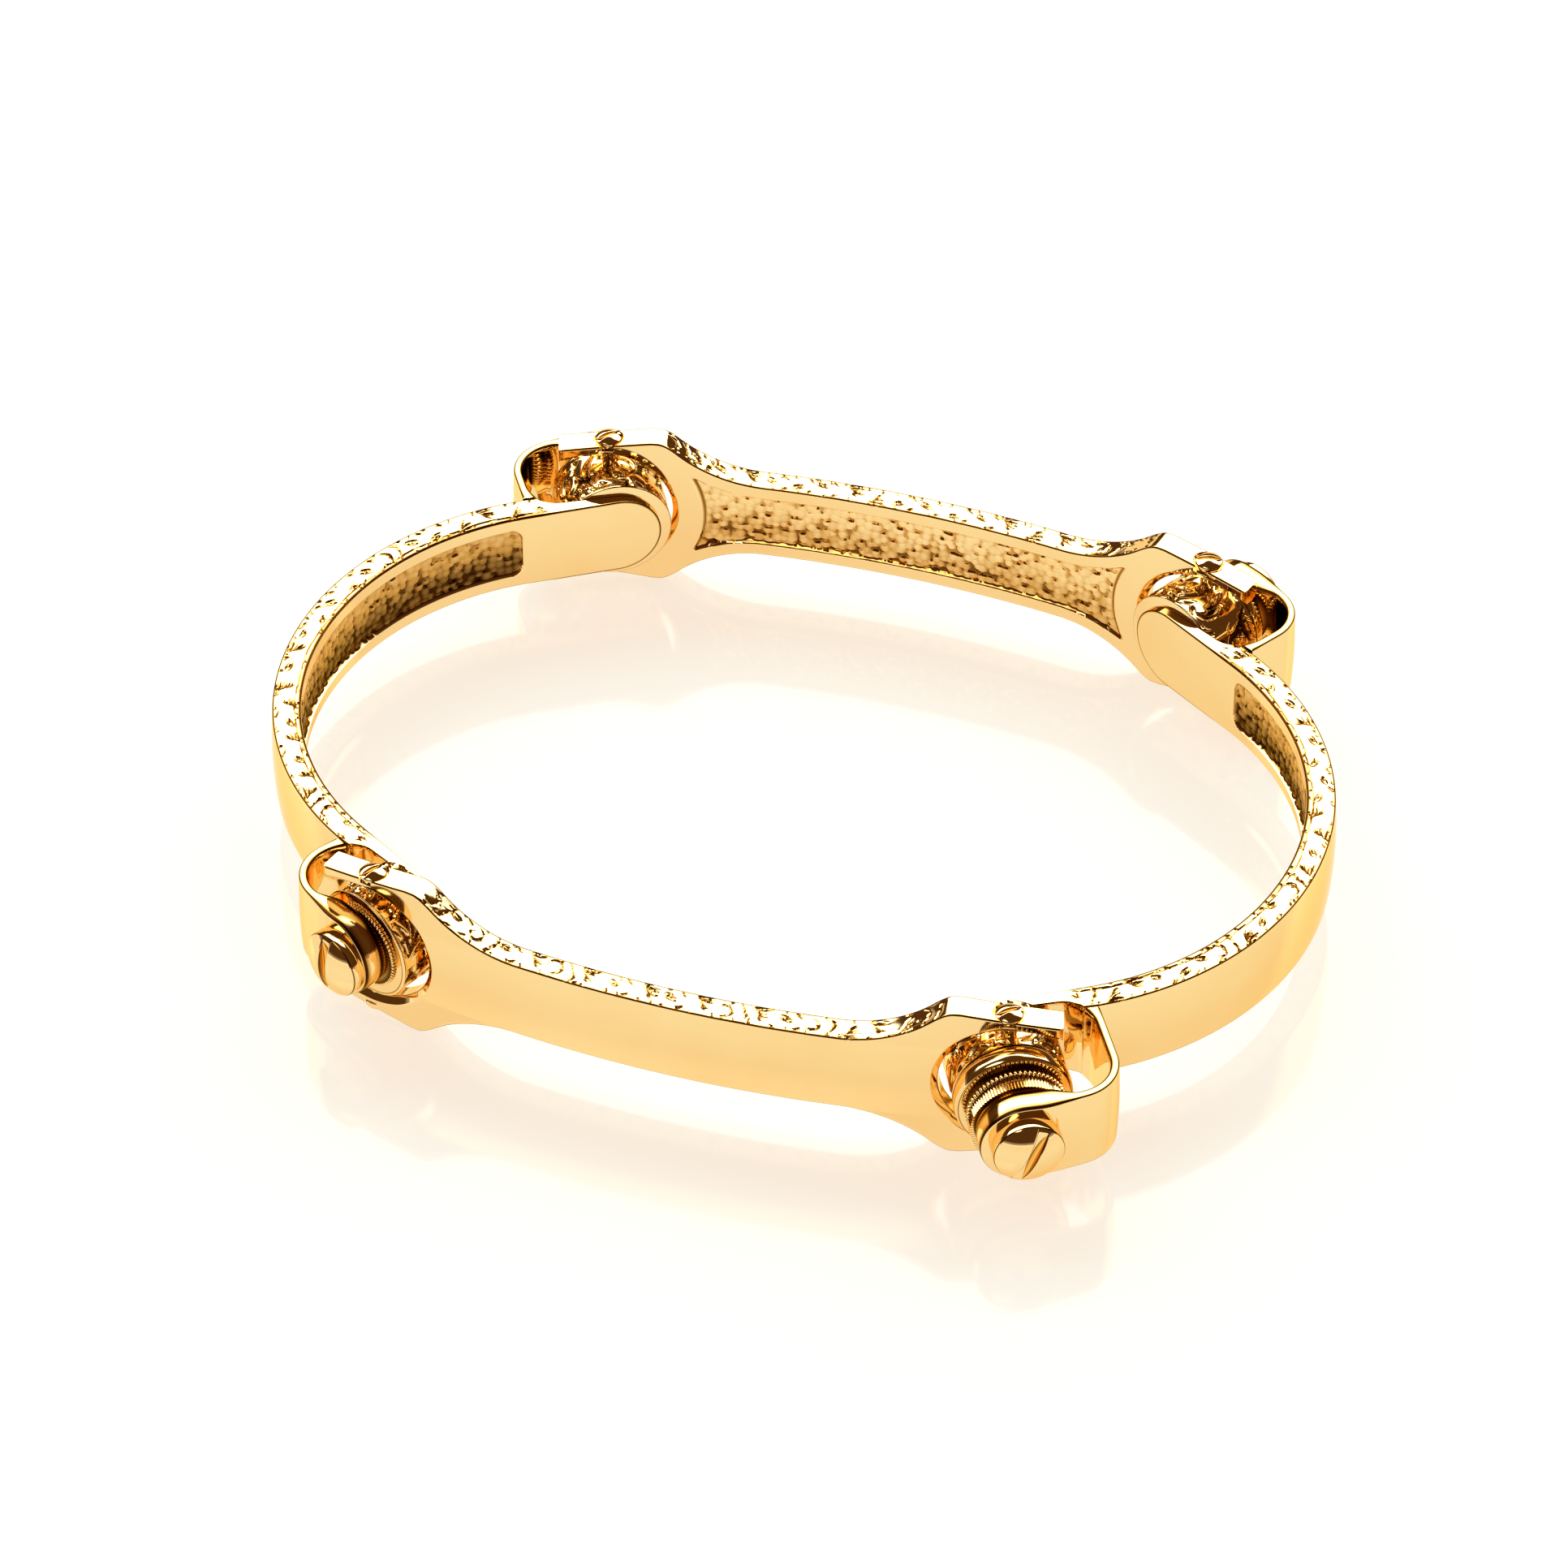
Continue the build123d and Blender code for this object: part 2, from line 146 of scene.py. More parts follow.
class CornerFrame:
    """A corner's own axes: out along the main screw, along the tongue, and up."""

    def __init__(self, corner: Corner) -> None:
        """Reads the screw's axis and the pivot's place from the record.

        Args:
            corner: Which corner.
        """
        x_sign, y_sign = corner.value
        pivot = np.abs(pivot_place("front_left_pivot") - CENTRE)
        self.corner = corner
        self.levels = LEVELS.get(corner, Levels())
        self.pivot = pivot * (x_sign, y_sign, 1)
        self.out = np.array(joint_facts(f"{corner.label}_screw_travel")["axis"], float)
        self.out /= np.linalg.norm(self.out)
        self.along = np.array((-x_sign * abs(self.out[1]), y_sign * abs(self.out[0]), 0.0))
        self.up = np.array((0.0, 0.0, 1.0))

    def place(self, along: Array, out: Array, up: Array) -> Array:
        """Turns corner coordinates into row directions from the links' centre.

        Args:
            along: Distance along the tongue.
            out: Distance along the screw's axis.
            up: Height above the screw's axis.

        Returns:
            Points, one more axis than the inputs.
        """
        along, out, up = np.broadcast_arrays(along, out, up)
        parts = along[..., None] * self.along + out[..., None] * self.out + up[..., None] * self.up
        return self.pivot + parts


# ------------------------------------------------------------------ closed meshes from grids


CUT_DEPTH = 0.11  # a cut this deep is fully dark
SWELL_DEPTH = 0.02  # how deep a hand-finished edge wanders, and again as much above it
EDGE_SHARES = np.array((0.0, 0.22, 0.6))  # samples of a rounded edge, as shares of its radius
WRIST_SHARES = np.array((0.0, 0.12, 0.35, 0.65))  # the same for a band's softer wrist side


def stand(name: str, data: bpy.types.ID) -> bpy.types.Object:
    """Makes an object of a mesh or a camera and links it to the scene."""
    made = bpy.data.objects.new(name, data)
    bpy.context.scene.collection.objects.link(made)
    return made


class Skin:
    """Gathers grids of points and welds them into one closed mesh."""

    WELD = 2e-7
    SHARP = math.radians(58)

    def __init__(self, name: str) -> None:
        """Starts an empty skin.

        Args:
            name: The name of the piece it becomes.
        """
        self.name = name
        self.points: list[Array] = []
        self.cuts: list[Array] = []
        self.faces: list[list[int]] = []
        self.count = 0

    def grid(self, points: Array, cut: Optional[Array] = None,
             wrap: tuple[bool, bool] = (False, False)) -> None:
        """Adds a grid of quads.

        Args:
            points: Rows and columns of points, shape (rows, columns, 3), in millimetres.
            cut: How dark each point is painted, 0 to 1: the depth of real cuts, which darken as patina, and
                painted shade along edges, in panels and in grooves.
            wrap: Whether the last row joins the first, and the last column the first.
        """
        rows, columns = points.shape[:2]
        ids = np.arange(rows * columns).reshape(rows, columns) + self.count
        if wrap[0]:
            ids = np.vstack([ids, ids[:1]])
        if wrap[1]:
            ids = np.hstack([ids, ids[:, :1]])
        quads = np.stack([ids[:-1, :-1], ids[1:, :-1], ids[1:, 1:], ids[:-1, 1:]], -1)
        self.faces.extend(quads.reshape(-1, 4).tolist())
        self.points.append(points.reshape(-1, 3))
        depth = np.zeros((rows, columns)) if cut is None else np.broadcast_to(cut, (rows, columns))
        self.cuts.append(depth.reshape(-1))
        self.count += rows * columns

    def fan(self, ring: Array, centre: Array) -> None:
        """Closes a ring of points with triangles to its centre.

        Args:
            ring: The ring's points in order, shape (n, 3).
            centre: The middle point.
        """
        size = len(ring)
        ids = np.arange(size) + self.count
        hub = self.count + size
        self.faces.extend([[int(ids[k]), int(ids[(k + 1) % size]), hub] for k in range(size)])
        self.points.append(np.vstack([ring, centre]))
        self.cuts.append(np.zeros(size + 1))
        self.count += size + 1

    def build(self) -> bpy.types.Object:
        """Makes the piece: welded, closed, smooth, with its edges sharp where they are meant to be.

        Returns:
            The new object, standing in the row frame.
        """
        mesh = bpy.data.meshes.new(self.name)
        mesh.from_pydata(((np.vstack(self.points) + CENTRE) * MM).tolist(), [], self.faces)
        # the cut attribute carries patina in real cuts and painted shade: dark lines along edges, shaded
        # panels and grooves
        layer = mesh.attributes.new("cut", "FLOAT", "POINT")
        layer.data.foreach_set("value", np.concatenate(self.cuts).astype(np.float32))
        work = bmesh.new()
        work.from_mesh(mesh)
        bmesh.ops.remove_doubles(work, verts=work.verts, dist=self.WELD)
        bmesh.ops.dissolve_degenerate(work, edges=work.edges, dist=self.WELD / 2)
        bmesh.ops.recalc_face_normals(work, faces=work.faces)
        open_edges = sum(1 for edge in work.edges if len(edge.link_faces) != 2)
        for face in work.faces:
            face.smooth = True
        work.to_mesh(mesh)
        work.free()
        mesh.set_sharp_from_angle(angle=self.SHARP)
        piece = stand(self.name, mesh)
        LOG.info("%s: %d faces, %d open edges", self.name, len(mesh.polygons), open_edges)
        return piece


def round_over(depth: Array, radius: float) -> Array:
    """How far a rounded edge stands back from its corner.

    Args:
        depth: Distance below the face, 0 at the face.
        radius: The edge's radius.

    Returns:
        The inset at each depth, radius at the face and 0 below the rounding.
    """
    rest = np.clip(radius - depth, 0.0, radius)
    return radius - np.sqrt(np.maximum(radius**2 - rest**2, 0.0))


def edge_line(near: Array, radius: float) -> Array:
    """A thin dark line painted along a rounded edge: painted shade, standing for the dark room that the
    rounding reflects.

    Args:
        near: Distance from the nearer face.
        radius: The edge's radius.

    Returns:
        The line's strength, 0 to 1.
    """
    return np.clip(np.minimum(near / (0.2 * radius), (1.6 * radius - near) / (0.9 * radius)), 0.0, 1.0)


def edge_inset(depth: float, thick: float, first: float, last: float) -> float:
    """How far the long edges of a plate stand back at one depth.

    Args:
        depth: Distance in from the first face.
        thick: The plate's thickness.
        first: Radius of the rounding at the first face.
        last: Radius of the rounding at the last face.

    Returns:
        The inset.
    """
    return float(np.maximum(round_over(depth, first), round_over(thick - depth, last)))


def edge_lines(depth: Array, thick: float, first: float, last: float) -> Array:
    """The painted dark lines of shade along both edges of a plate; arguments as for edge_inset."""
    return np.maximum(edge_line(depth, first), edge_line(thick - depth, last))


def eased(count: int) -> Array:
    """Shares from 0 to 1, closer together near both ends."""
    return 0.5 - 0.5 * np.cos(math.pi * np.linspace(0, 1, count))


def run_along(path: Array) -> Array:
    """The length run so far at each point of a path, shape (n,)."""
    return np.concatenate([[0.0], np.cumsum(np.linalg.norm(np.diff(path, axis=0), axis=1))])


def spaced(levels: Array, least: float = 0.012) -> Array:
    """Levels in order, without those that nearly repeat the one before."""
    order = np.unique(levels)
    keep = np.concatenate([np.diff(order) > least, [True]])
    keep[0] = True
    return order[keep]


def smooth_step(value: Array, low: float, high: float) -> Array:
    """A smooth rise from 0 at low to 1 at high."""
    share = np.clip((value - low) / (high - low), 0.0, 1.0)
    return share * share * (3 - 2 * share)


def filleted_path(corners: Sequence[tuple[float, float]], radii: Sequence[float], step: float) -> Array:
    """A polyline with its corners rounded.

    Args:
        corners: The polyline's points.
        radii: One radius for each inner corner.
        step: Spacing of the samples.

    Returns:
        Points along the path, shape (n, 2).
    """
    points = [np.array(corner, float) for corner in corners]
    path: list[Array] = []
    start = points[0]
    for index, radius in enumerate(radii, 1):
        before = (points[index - 1] - points[index]) / np.linalg.norm(points[index - 1] - points[index])
        after = (points[index + 1] - points[index]) / np.linalg.norm(points[index + 1] - points[index])
        half = math.acos(float(np.clip(before @ after, -1, 1))) / 2
        reach = radius / math.tan(half)
        first, last = points[index] + before * reach, points[index] + after * reach
        centre = points[index] + (before + after) / np.linalg.norm(before + after) * radius / math.sin(half)
        path.append(straight(start, first, step))
        angles = [math.atan2(*(end - centre)[::-1]) for end in (first, last)]
        sweep = (angles[1] - angles[0] + math.pi) % (2 * math.pi) - math.pi
        turns = angles[0] + sweep * np.linspace(0, 1, max(3, int(abs(sweep) * radius / step) + 2))[1:]
        path.append(centre + radius * np.stack([np.cos(turns), np.sin(turns)], -1))
        start = last
    path.append(straight(start, points[-1], step))
    return np.vstack([path[0][:1], *[piece[1:] if at % 2 == 0 else piece for at, piece in enumerate(path)]])


def straight(start: Array, end: Array, step: float) -> Array:
    """Evenly spaced points from start to end, both included."""
    count = max(2, int(np.linalg.norm(end - start) / step) + 2)
    return start + (end - start) * np.linspace(0, 1, count)[:, None]


def along_path(path: Array, shares: Array) -> Array:
    """Points at given shares of a path's length.

    Args:
        path: The path's points, shape (n, 2).
        shares: Shares of its length, 0 to 1.

    Returns:
        Points, shape (len(shares), 2).
    """
    run = run_along(path)
    run /= run[-1]
    return np.stack([np.interp(shares, run, path[:, k]) for k in (0, 1)], -1)


# ------------------------------------------------------------------ hand work on the surface


@dataclass(frozen=True)
class Stroke:
    """One cut of the graver: a curved line, thin at its ends and wide in its middle."""

    start: tuple[float, float]
    heading: float
    length: float
    bend: float
    width: float
    depth: float
    curl: float = 1.0

    def line(self) -> Array:
        """The cut's centre line, shape (n, 2)."""
        count = max(5, int(self.length / 0.09))
        share = (np.arange(count) + 0.5) / count
        angle = self.heading + self.bend * share**self.curl
        steps = np.stack([np.cos(angle), np.sin(angle)], -1) * self.length / count
        return np.vstack([self.start, np.array(self.start) + np.cumsum(steps, 0)])

    def cut_into(self, along: Array, across: Array, depths: Array) -> None:
        """Deepens a height map where this cut runs.

        Args:
            along: Position of each row of the map along the strip.
            across: Position of each point across the strip, shape (rows, columns).
            depths: The map, changed in place.
        """
        line = self.line()
        low, high = line[:, 0].min() - self.width, line[:, 0].max() + self.width
        first, last = np.searchsorted(along, (low, high))
        if last <= first:
            return
        spot = np.stack(np.broadcast_arrays(along[first:last, None], across[first:last]), -1)[..., None, :]
        begin, step = line[:-1], np.diff(line, axis=0)
        share = ((spot - begin) * step).sum(-1) / np.maximum((step**2).sum(-1), 1e-9)
        share = np.clip(share, 0, 1)
        gap = np.linalg.norm(spot - begin - share[..., None] * step, axis=-1)
        place = (np.arange(len(begin)) + share) / len(begin)
        half = self.width * (0.25 + 0.75 * np.sin(np.pi * np.clip(place, 0, 1) ** 0.8))
        cut = self.depth * (half / self.width) * np.clip(1 - gap / half, 0, 1)
        depths[first:last] = np.maximum(depths[first:last], cut.max(-1))


class Chaser:
    """Lays out running scrolls with leaves, the way a hand engraver fills a narrow strip."""

    MOTIF_SHARES = (0.2, 0.35, 0.45)
    MOTIF_PITCH = 1.75

    def __init__(self, seed: int) -> None:
        """Starts the hand.

        Args:
            seed: Makes each strip its own, and the same in each run.
        """
        self.random = np.random.default_rng(seed)

    def vary(self, value: float, share: float = 0.15) -> float:
        """A value changed a little, as by hand."""
        return value * (1 + share * self.random.uniform(-1, 1))

    def scrolls(self, length: float, width: float, size: float = 1.0) -> list[Stroke]:
        """Scrolls and leaves for a strip.

        Args:
            length: The strip's length.
            width: The strip's width.
            size: Scale of the motifs; 1 suits a strip 1.8 wide.

        Returns:
            The cuts.
        """
        cuts: list[Stroke] = []
        place, side = 0.3 * size, 1
        while place < length - 1.4 * size:
            motif = self.random.choice([self.scroll, self.spray, self.eye], p=self.MOTIF_SHARES)
            cuts += motif(place, side, width, size)
            cuts += self.nicks(place, width, size)
            place += self.vary(self.MOTIF_PITCH * size, 0.15)
            side = -side
        return cuts

    def scroll(self, place: float, side: int, width: float, size: float) -> list[Stroke]:
        """One curl with its eye and a fan of leaves.

        Args:
            place: Where along the strip it starts.
            side: Which border it springs from, -1 or 1.
            width: The strip's width.
            size: Scale of the motif.

        Returns:
            Its cuts.
        """
        middle = width / 2
        cuts = [
            Stroke((place, middle + side * 0.38 * width), self.vary(-side * 0.35, 0.4),
                   self.vary(2.8 * size, 0.1), side * self.vary(-5.4, 0.1), 0.10 * size, 0.13 * size, 1.5),
            Stroke((place + 0.6 * size, middle), self.random.uniform(0, 6.28), 0.2 * size, 0.0, 0.15 * size,
                   0.13 * size),
        ]
        for leaf in range(4):
            foot = place + (0.95 + 0.24 * leaf) * size
            rise = middle - side * (0.44 - 0.17 * leaf) * width
            heading = side * self.vary(0.5 + 0.32 * leaf, 0.2)
            cuts.append(Stroke((foot, rise), heading, self.vary(0.9 * size, 0.2),
                               side * self.vary(1.2, 0.3), 0.09 * size, 0.13 * size))
        return cuts

    def spray(self, place: float, side: int, width: float, size: float) -> list[Stroke]:
        """A spray of long leaves from one border across to the other; arguments as for scroll."""
        middle = width / 2
        cuts = []
        for leaf in range(6):
            foot = place + 0.12 * leaf * size
            heading = -side * self.vary(0.15 + 0.27 * leaf, 0.15)
            cuts.append(Stroke((foot, middle + side * (0.42 - 0.05 * leaf) * width), heading,
                               self.vary((1.5 - 0.13 * leaf) * size, 0.15), side * self.vary(0.9, 0.4),
                               (0.07 + 0.05 * (leaf % 2)) * size, 0.13 * size))
        return cuts

    def eye(self, place: float, side: int, width: float, size: float) -> list[Stroke]:
        """A pointed oval with a drop in it, and two leaves behind; arguments as for scroll."""
        middle = width / 2
        lean = side * self.random.uniform(0.1, 0.75)
        left = (place + 0.05 * size, middle - side * 0.22 * width)
        reach = self.vary(1.15 * size, 0.2)
        cuts = [Stroke(left, lean + turn * 0.6, reach, -turn * 1.25, 0.085 * size, 0.13 * size)
                for turn in (-1, 1)]
        drop = (left[0] + 0.42 * math.cos(lean) * size, left[1] + 0.42 * math.sin(lean) * size)
        cuts.append(Stroke(drop, lean, 0.38 * size, 0.4, 0.13 * size, 0.13 * size))
        for turn in (-1, 1):
            cuts.append(Stroke((place + 1.05 * size, middle + turn * 0.40 * width), -turn * 0.3, 0.7 * size,
                               -turn * self.vary(0.7, 0.3), 0.09 * size, 0.12 * size))
        return cuts

    def nicks(self, place: float, width: float, size: float) -> list[Stroke]:
        """Short cuts in from both borders.

        Args:
            place: Where along the strip they start.
            width: The strip's width.
            size: Scale of the cuts.

        Returns:
            The cuts.
        """
        cuts = []
        for nick in range(3):
            foot = place + self.vary(0.55 * nick * size + 0.1, 0.4)
            border = width / 2 + (1 if nick % 2 else -1) * 0.46 * width
            inward = -math.copysign(math.pi / 2, border - width / 2)
            cuts.append(Stroke((foot, border), inward + self.random.uniform(-1.1, 1.1),
                               0.42 * size, self.random.uniform(-0.8, 0.8), 0.09 * size, 0.11 * size))
        return cuts

    @staticmethod
    def carve(cuts: Sequence[Stroke], along: Array, across: Array) -> Array:
        """Runs the cuts over a strip.

        Args:
            cuts: The cuts.
            along: Position of each row along the strip, rising.
            across: Position of each point across it, shape (rows, columns).

        Returns:
            Depth below the polished surface, shape (rows, columns).
        """
        depths = np.zeros(np.broadcast_shapes(along[:, None].shape, across.shape))
        across = np.broadcast_to(across, depths.shape)
        for cut in cuts:
            cut.cut_into(along, across, depths)
        return depths


class Pebbles:
    """Rounded lumps raised with a small punch, close together and never quite in rows."""

    CELLS = 97

    def __init__(self, seed: int, pitch: float) -> None:
        """Places the lumps.

        Args:
            seed: Makes each panel its own, and the same in each run.
            pitch: Average distance between lumps.
        """
        draw = np.random.default_rng(seed)
        self.pitch = pitch
        self.shift = draw.uniform(0.18, 0.82, (self.CELLS, self.CELLS, 2))
        self.reach = draw.uniform(0.50, 0.78, (self.CELLS, self.CELLS))
        self.height = draw.uniform(0.7, 1.0, (self.CELLS, self.CELLS))

    def rise(self, along: Array, across: Array) -> Array:
        """Height of the lumps, 0 to 1.

        Args:
            along: First coordinate.
            across: Second coordinate, same shape.

        Returns:
            The height at each point.
        """
        first, second = along / self.pitch, across / self.pitch
        best = np.zeros(np.broadcast_shapes(first.shape, second.shape))
        row, column = np.floor(first).astype(int), np.floor(second).astype(int)
        for down in (-1, 0, 1):
            for over in (-1, 0, 1):
                key = ((row + down) % self.CELLS, (column + over) % self.CELLS)
                gap = np.hypot(first - row - down - self.shift[key][..., 0],
                               second - column - over - self.shift[key][..., 1])
                lump = self.height[key] * np.sqrt(np.clip(1 - (gap / self.reach[key]) ** 2, 0, 1))
                best = np.maximum(best, lump)
        return best


def swell(along: Array, across: Array, seed: int) -> Array:
    """Slow uneven swelling of a hand-finished surface.

    Args:
        along: First coordinate.
        across: Second coordinate.
        seed: Chooses the waves.

    Returns:
        A value between about -1 and 1 at each point.
    """
    draw = np.random.default_rng(seed)
    total = np.zeros(np.broadcast_shapes(np.shape(along), np.shape(across)))
    for _ in range(5):
        wave = draw.uniform(0.8, 2.6, 2) * draw.choice((-1, 1), 2)
        total = total + np.sin(along * wave[0] + across * wave[1] + draw.uniform(0, 6.28)) / 5
    return total


def uneven(run: Array, across: Array, seed: int) -> Array:
    """Depth of a chased edge's swelling, shape (rows, columns); arguments as for Chaser.carve."""
    return SWELL_DEPTH * (1 + swell(run[:, None], across * 2, seed))


@dataclass(frozen=True)
class SunkPanel:
    """A pebbled panel sunk in a link's wrist side, painted with shade: darker over its floor, more so low
    down, between its pebbles and on its wall.
    """

    pebble: float
    shade: float
    shade_fall: float
    gap_shade: float
    wall_shade: float
    depth: float = 0.35
    border: float = 0.9
    pebble_rise: float = 0.17

    def surface(self, seed: int, along: Array, up: Array, floor: Array) -> tuple[Array, Array]:
        """The panel's surface.

        Args:
            seed: Makes each panel its own.
            along: Distance along the link.
            up: Height above the middle.
            floor: How far the panel's wall has come down to its floor, 0 to 1.

        Returns:
            How deep the surface lies, and how dark it is painted as shade, 0 to 1.
        """
        lumps = Pebbles(seed, self.pebble).rise(along, up) * smooth_step(floor, 0.6, 1.0)
        # painted shade: a base over the floor that grows lower down, more between the pebbles, and a band on
        # the wall
        shade = floor * (self.shade + self.shade_fall * np.clip(-up, -1, 1))
        cut = np.maximum(shade + floor * self.gap_shade * (1 - lumps), self.wall_shade * floor * (1 - floor))
        return self.depth * floor - self.pebble_rise * lumps, cut


class Link:
    """A forged link, skinned in two steps."""

    def add_edges(self, skin: Skin) -> None:
        """Adds all that lies between the link's two faces."""
        raise NotImplementedError

    def add_faces(self, skin: Skin) -> None:
        """Adds the outer face and the wrist side with its panel."""
        raise NotImplementedError

    def build(self, name: str) -> bpy.types.Object:
        """Makes the link.

        Args:
            name: The piece's name.

        Returns:
            The link's object.
        """
        skin = Skin(name)
        self.add_edges(skin)
        self.add_faces(skin)
        return skin.build()


# ------------------------------------------------------------------ the bars with forked ends


@dataclass
class Bar(Link):
    """A curved bar with a forked jaw at each end.

    It is meshed as a plate over its elevation outline: a block of upright columns between the
    shoulders, a block of radial lines round each jaw, and walls that follow the outline.
    """

    side: int
    seed: int
    radius: float = 80.0
    thick: float = 1.85
    waist_x: float = 10.0
    shoulder_x: float = 16.3
    land_x: float = 17.3
    column_x: float = 15.1
    pivot_half: float = 5.2
    arm_reach: float = 3.2
    jaw_radius: float = 4.15
    jaw_mouth_radius: float = 9.0
    jaw_bevel: float = 0.43
    jaw_soft: float = 0.03
    # a dark line of painted shade along the jaw's bevel: its strength and width
    bevel_line: float = 0.8
    bevel_line_width: float = 0.05
    sink_radius: float = 1.0
    sink_depth: float = 0.3
    sink_margin: float = 1.35
    edge: float = 0.12
    tip_round: float = 0.32
    corner_blend: float = 0.7
    crown: float = 0.12
    sunk: SunkPanel = SunkPanel(pebble=0.56, shade=0.28, shade_fall=0.11, gap_shade=0.45, wall_shade=3.4)
    panel_gap: float = 6.1
    panel_wall: float = 0.18
    panel_end_wall: float = 0.45
    step: float = 0.1
    rows: int = 65
    spokes: int = 12
    slice_count: int = 20

    def __post_init__(self) -> None:
        """Works out the sizes that follow from the others and from the frame."""
        low, high = node_span("front_bar" if self.side < 0 else "rear_bar")
        band_low, band_high = node_span("left_band")
        pivot = CornerFrame(Corner.REAR_RIGHT).pivot
        self.mid_z = (low[2] + high[2]) / 2
        self.fork_half = (high[2] - low[2]) / 2
        self.waist_half = (band_high[2] - band_low[2]) / 2
        self.pivot_s = self.radius * math.asin(pivot[0] / self.radius)
        self.centre_y = pivot[1] - math.sqrt(self.radius**2 - pivot[0] ** 2)
        self.tip_s = self.pivot_s + self.arm_reach
        self.fall = (self.fork_half - self.pivot_half) / (pivot[0] - self.land_x)
        rise = self.fork_half - self.waist_half
        run = self.shoulder_x - self.waist_x
        self.shoulder_radius = (run**2 + rise**2) / (2 * rise)
        inner = np.linspace(self.edge, self.thick - self.edge, self.slice_count)
        bevel = (self.jaw_bevel - self.jaw_soft, self.jaw_bevel + self.jaw_soft)
        bevels = [*bevel, *(self.thick - np.array(bevel))]
        edge = EDGE_SHARES * self.edge
        self.depths = spaced(np.concatenate([edge, inner, bevels, self.thick - edge]))

    def along_bar(self, x: float) -> float:
        """Distance along the bar's middle line of a point at x."""
        return self.radius * math.asin(x / self.radius)

    def half_height(self, s: Array) -> Array:
        """Half height of the elevation outline at a distance along the bar."""
        x = np.abs(self.radius * np.sin(np.asarray(s) / self.radius))
        drop = np.clip(x - self.waist_x, 0, self.shoulder_x - self.waist_x + 2 * self.corner_blend)
        curve = self.waist_half + self.shoulder_radius - np.sqrt(self.shoulder_radius**2 - drop**2)
        land = self.fork_half - np.clip(x - self.land_x, 0, None) * self.fall
        meet = np.clip(self.corner_blend - np.abs(curve - land), 0, None)
        return np.minimum(curve, land) - meet**2 / (4 * self.corner_blend)

    def slope(self, s: Array, reach: float) -> Array:
        """Slope of the elevation outline, taken over a short reach each way."""
        return (self.half_height(s + reach) - self.half_height(s - reach)) / (2 * reach)

    def tip_inset(self, depth: float) -> float:
        """How far an arm's tip stands back at one depth, for its rounded upright corners."""
        near = min(depth, self.thick - depth)
        return float(round_over(np.array(near), self.tip_round))

    def place(self, s: Array, z: Array, depth: Array) -> Array:
        """Row coordinates of a point of the plate.

        Args:
            s: Distance along the bar.
            z: Height above the middle.
            depth: Distance in from the outer face; the whole thickness is the wrist side.

        Returns:
            Points, one more axis than the inputs.
        """
        s, z, depth = np.broadcast_arrays(s, z, depth)
        outer = self.thick / 2 - self.crown * np.clip(np.abs(z) / self.waist_half, 0, 1) ** 2
        out = outer - (outer + self.thick / 2) * depth / self.thick
        angle = s / self.radius
        return np.stack([
            (self.radius + out) * np.sin(angle),
            self.side * (self.centre_y + (self.radius + out) * np.cos(angle)),
            self.mid_z + z,
        ], -1)

    def arm_columns(self) -> list[tuple[float, bool]]:
        """Columns from the column block's edge to the tip: distance from the pivot, and in the sink."""
        first = self.along_bar(self.column_x) - self.pivot_s
        before = np.arange(first + self.step, -self.sink_margin, self.step)
        near = np.linspace(-self.sink_margin, -self.sink_radius, 4)
        within = np.linspace(-self.sink_radius, self.sink_radius, 17)
        count = int((self.arm_reach - self.sink_margin) / self.step) + 1
        after = np.linspace(self.sink_margin, self.arm_reach, count)
        return (
            [(a, False) for a in (*before, *near)]
            + [(a, True) for a in within]
            + [(-a, False) for a in near[::-1]]
            + [(a, False) for a in after[1:]]
        )

    def outline(self, depth: float) -> tuple[Array, Array, Array]:
        """The top outline from the left tip to the right tip at one depth.

        Args:
            depth: Distance in from the outer face.

        Returns:
            Distance along the bar, height, and the length run so far, each of shape (n,).
        """
        inset = edge_inset(depth, self.thick, self.edge, self.edge)
        off_axis = depth - self.thick / 2
        hole = math.sqrt(max(self.sink_radius**2 - off_axis**2, 0.0))
        edge_s = self.along_bar(self.column_x)
        middle = np.linspace(-edge_s, edge_s, int(2 * edge_s / self.step) + 1)
        arms = self.arm_columns()
        local = np.array([a for a, _ in arms])
        inside = np.array([flag for _, flag in arms])
        margin, reach, far = self.sink_margin, self.arm_reach, 99
        knots = (-far, -margin, -self.sink_radius, self.sink_radius, margin, far)
        warped = np.interp(local, knots, (-far, -margin, -hole, hole, margin, far))
        tip = reach - self.tip_inset(depth)
        beyond = margin + (warped - margin) * (tip - margin) / (reach - margin)
        warped = np.where(warped > margin, beyond, warped)
        arm_s = self.pivot_s + warped
        s = np.concatenate([-arm_s[::-1], middle, arm_s])
        sunk = np.concatenate([inside[::-1], np.zeros(len(middle), bool), inside])
        slope = self.slope(s, 0.12)
        slope = np.where(np.abs(s) < edge_s + 1.0, slope, -np.sign(s) * self.fall)
        bend = (np.abs(s) >= edge_s) & (np.abs(s) < self.along_bar(self.land_x))
        slope = np.where(bend, slope * 0.5, slope)
        z = self.half_height(s) - inset * np.sqrt(1 + slope**2)
        z = np.where(sunk, self.pivot_half - self.sink_depth - inset, z)
        run = np.concatenate([[0.0], np.cumsum(np.hypot(np.diff(s), np.diff(self.half_height(s))))])
        return s, z, run

    def jaw_edge(self, depth: float) -> float:
        """Radius of the jaw at one depth: wall, bevels, and a soft outer edge."""
        near = min(depth, self.thick - depth)
        return self.jaw_radius + max(0.0, self.jaw_bevel - near) + (self.jaw_soft if near == 0 else 0.0)

    def row_shares(self) -> Array:
        """Heights of the column block's rows, as shares of the half height, top to bottom."""
        return np.linspace(1, -1, self.rows)

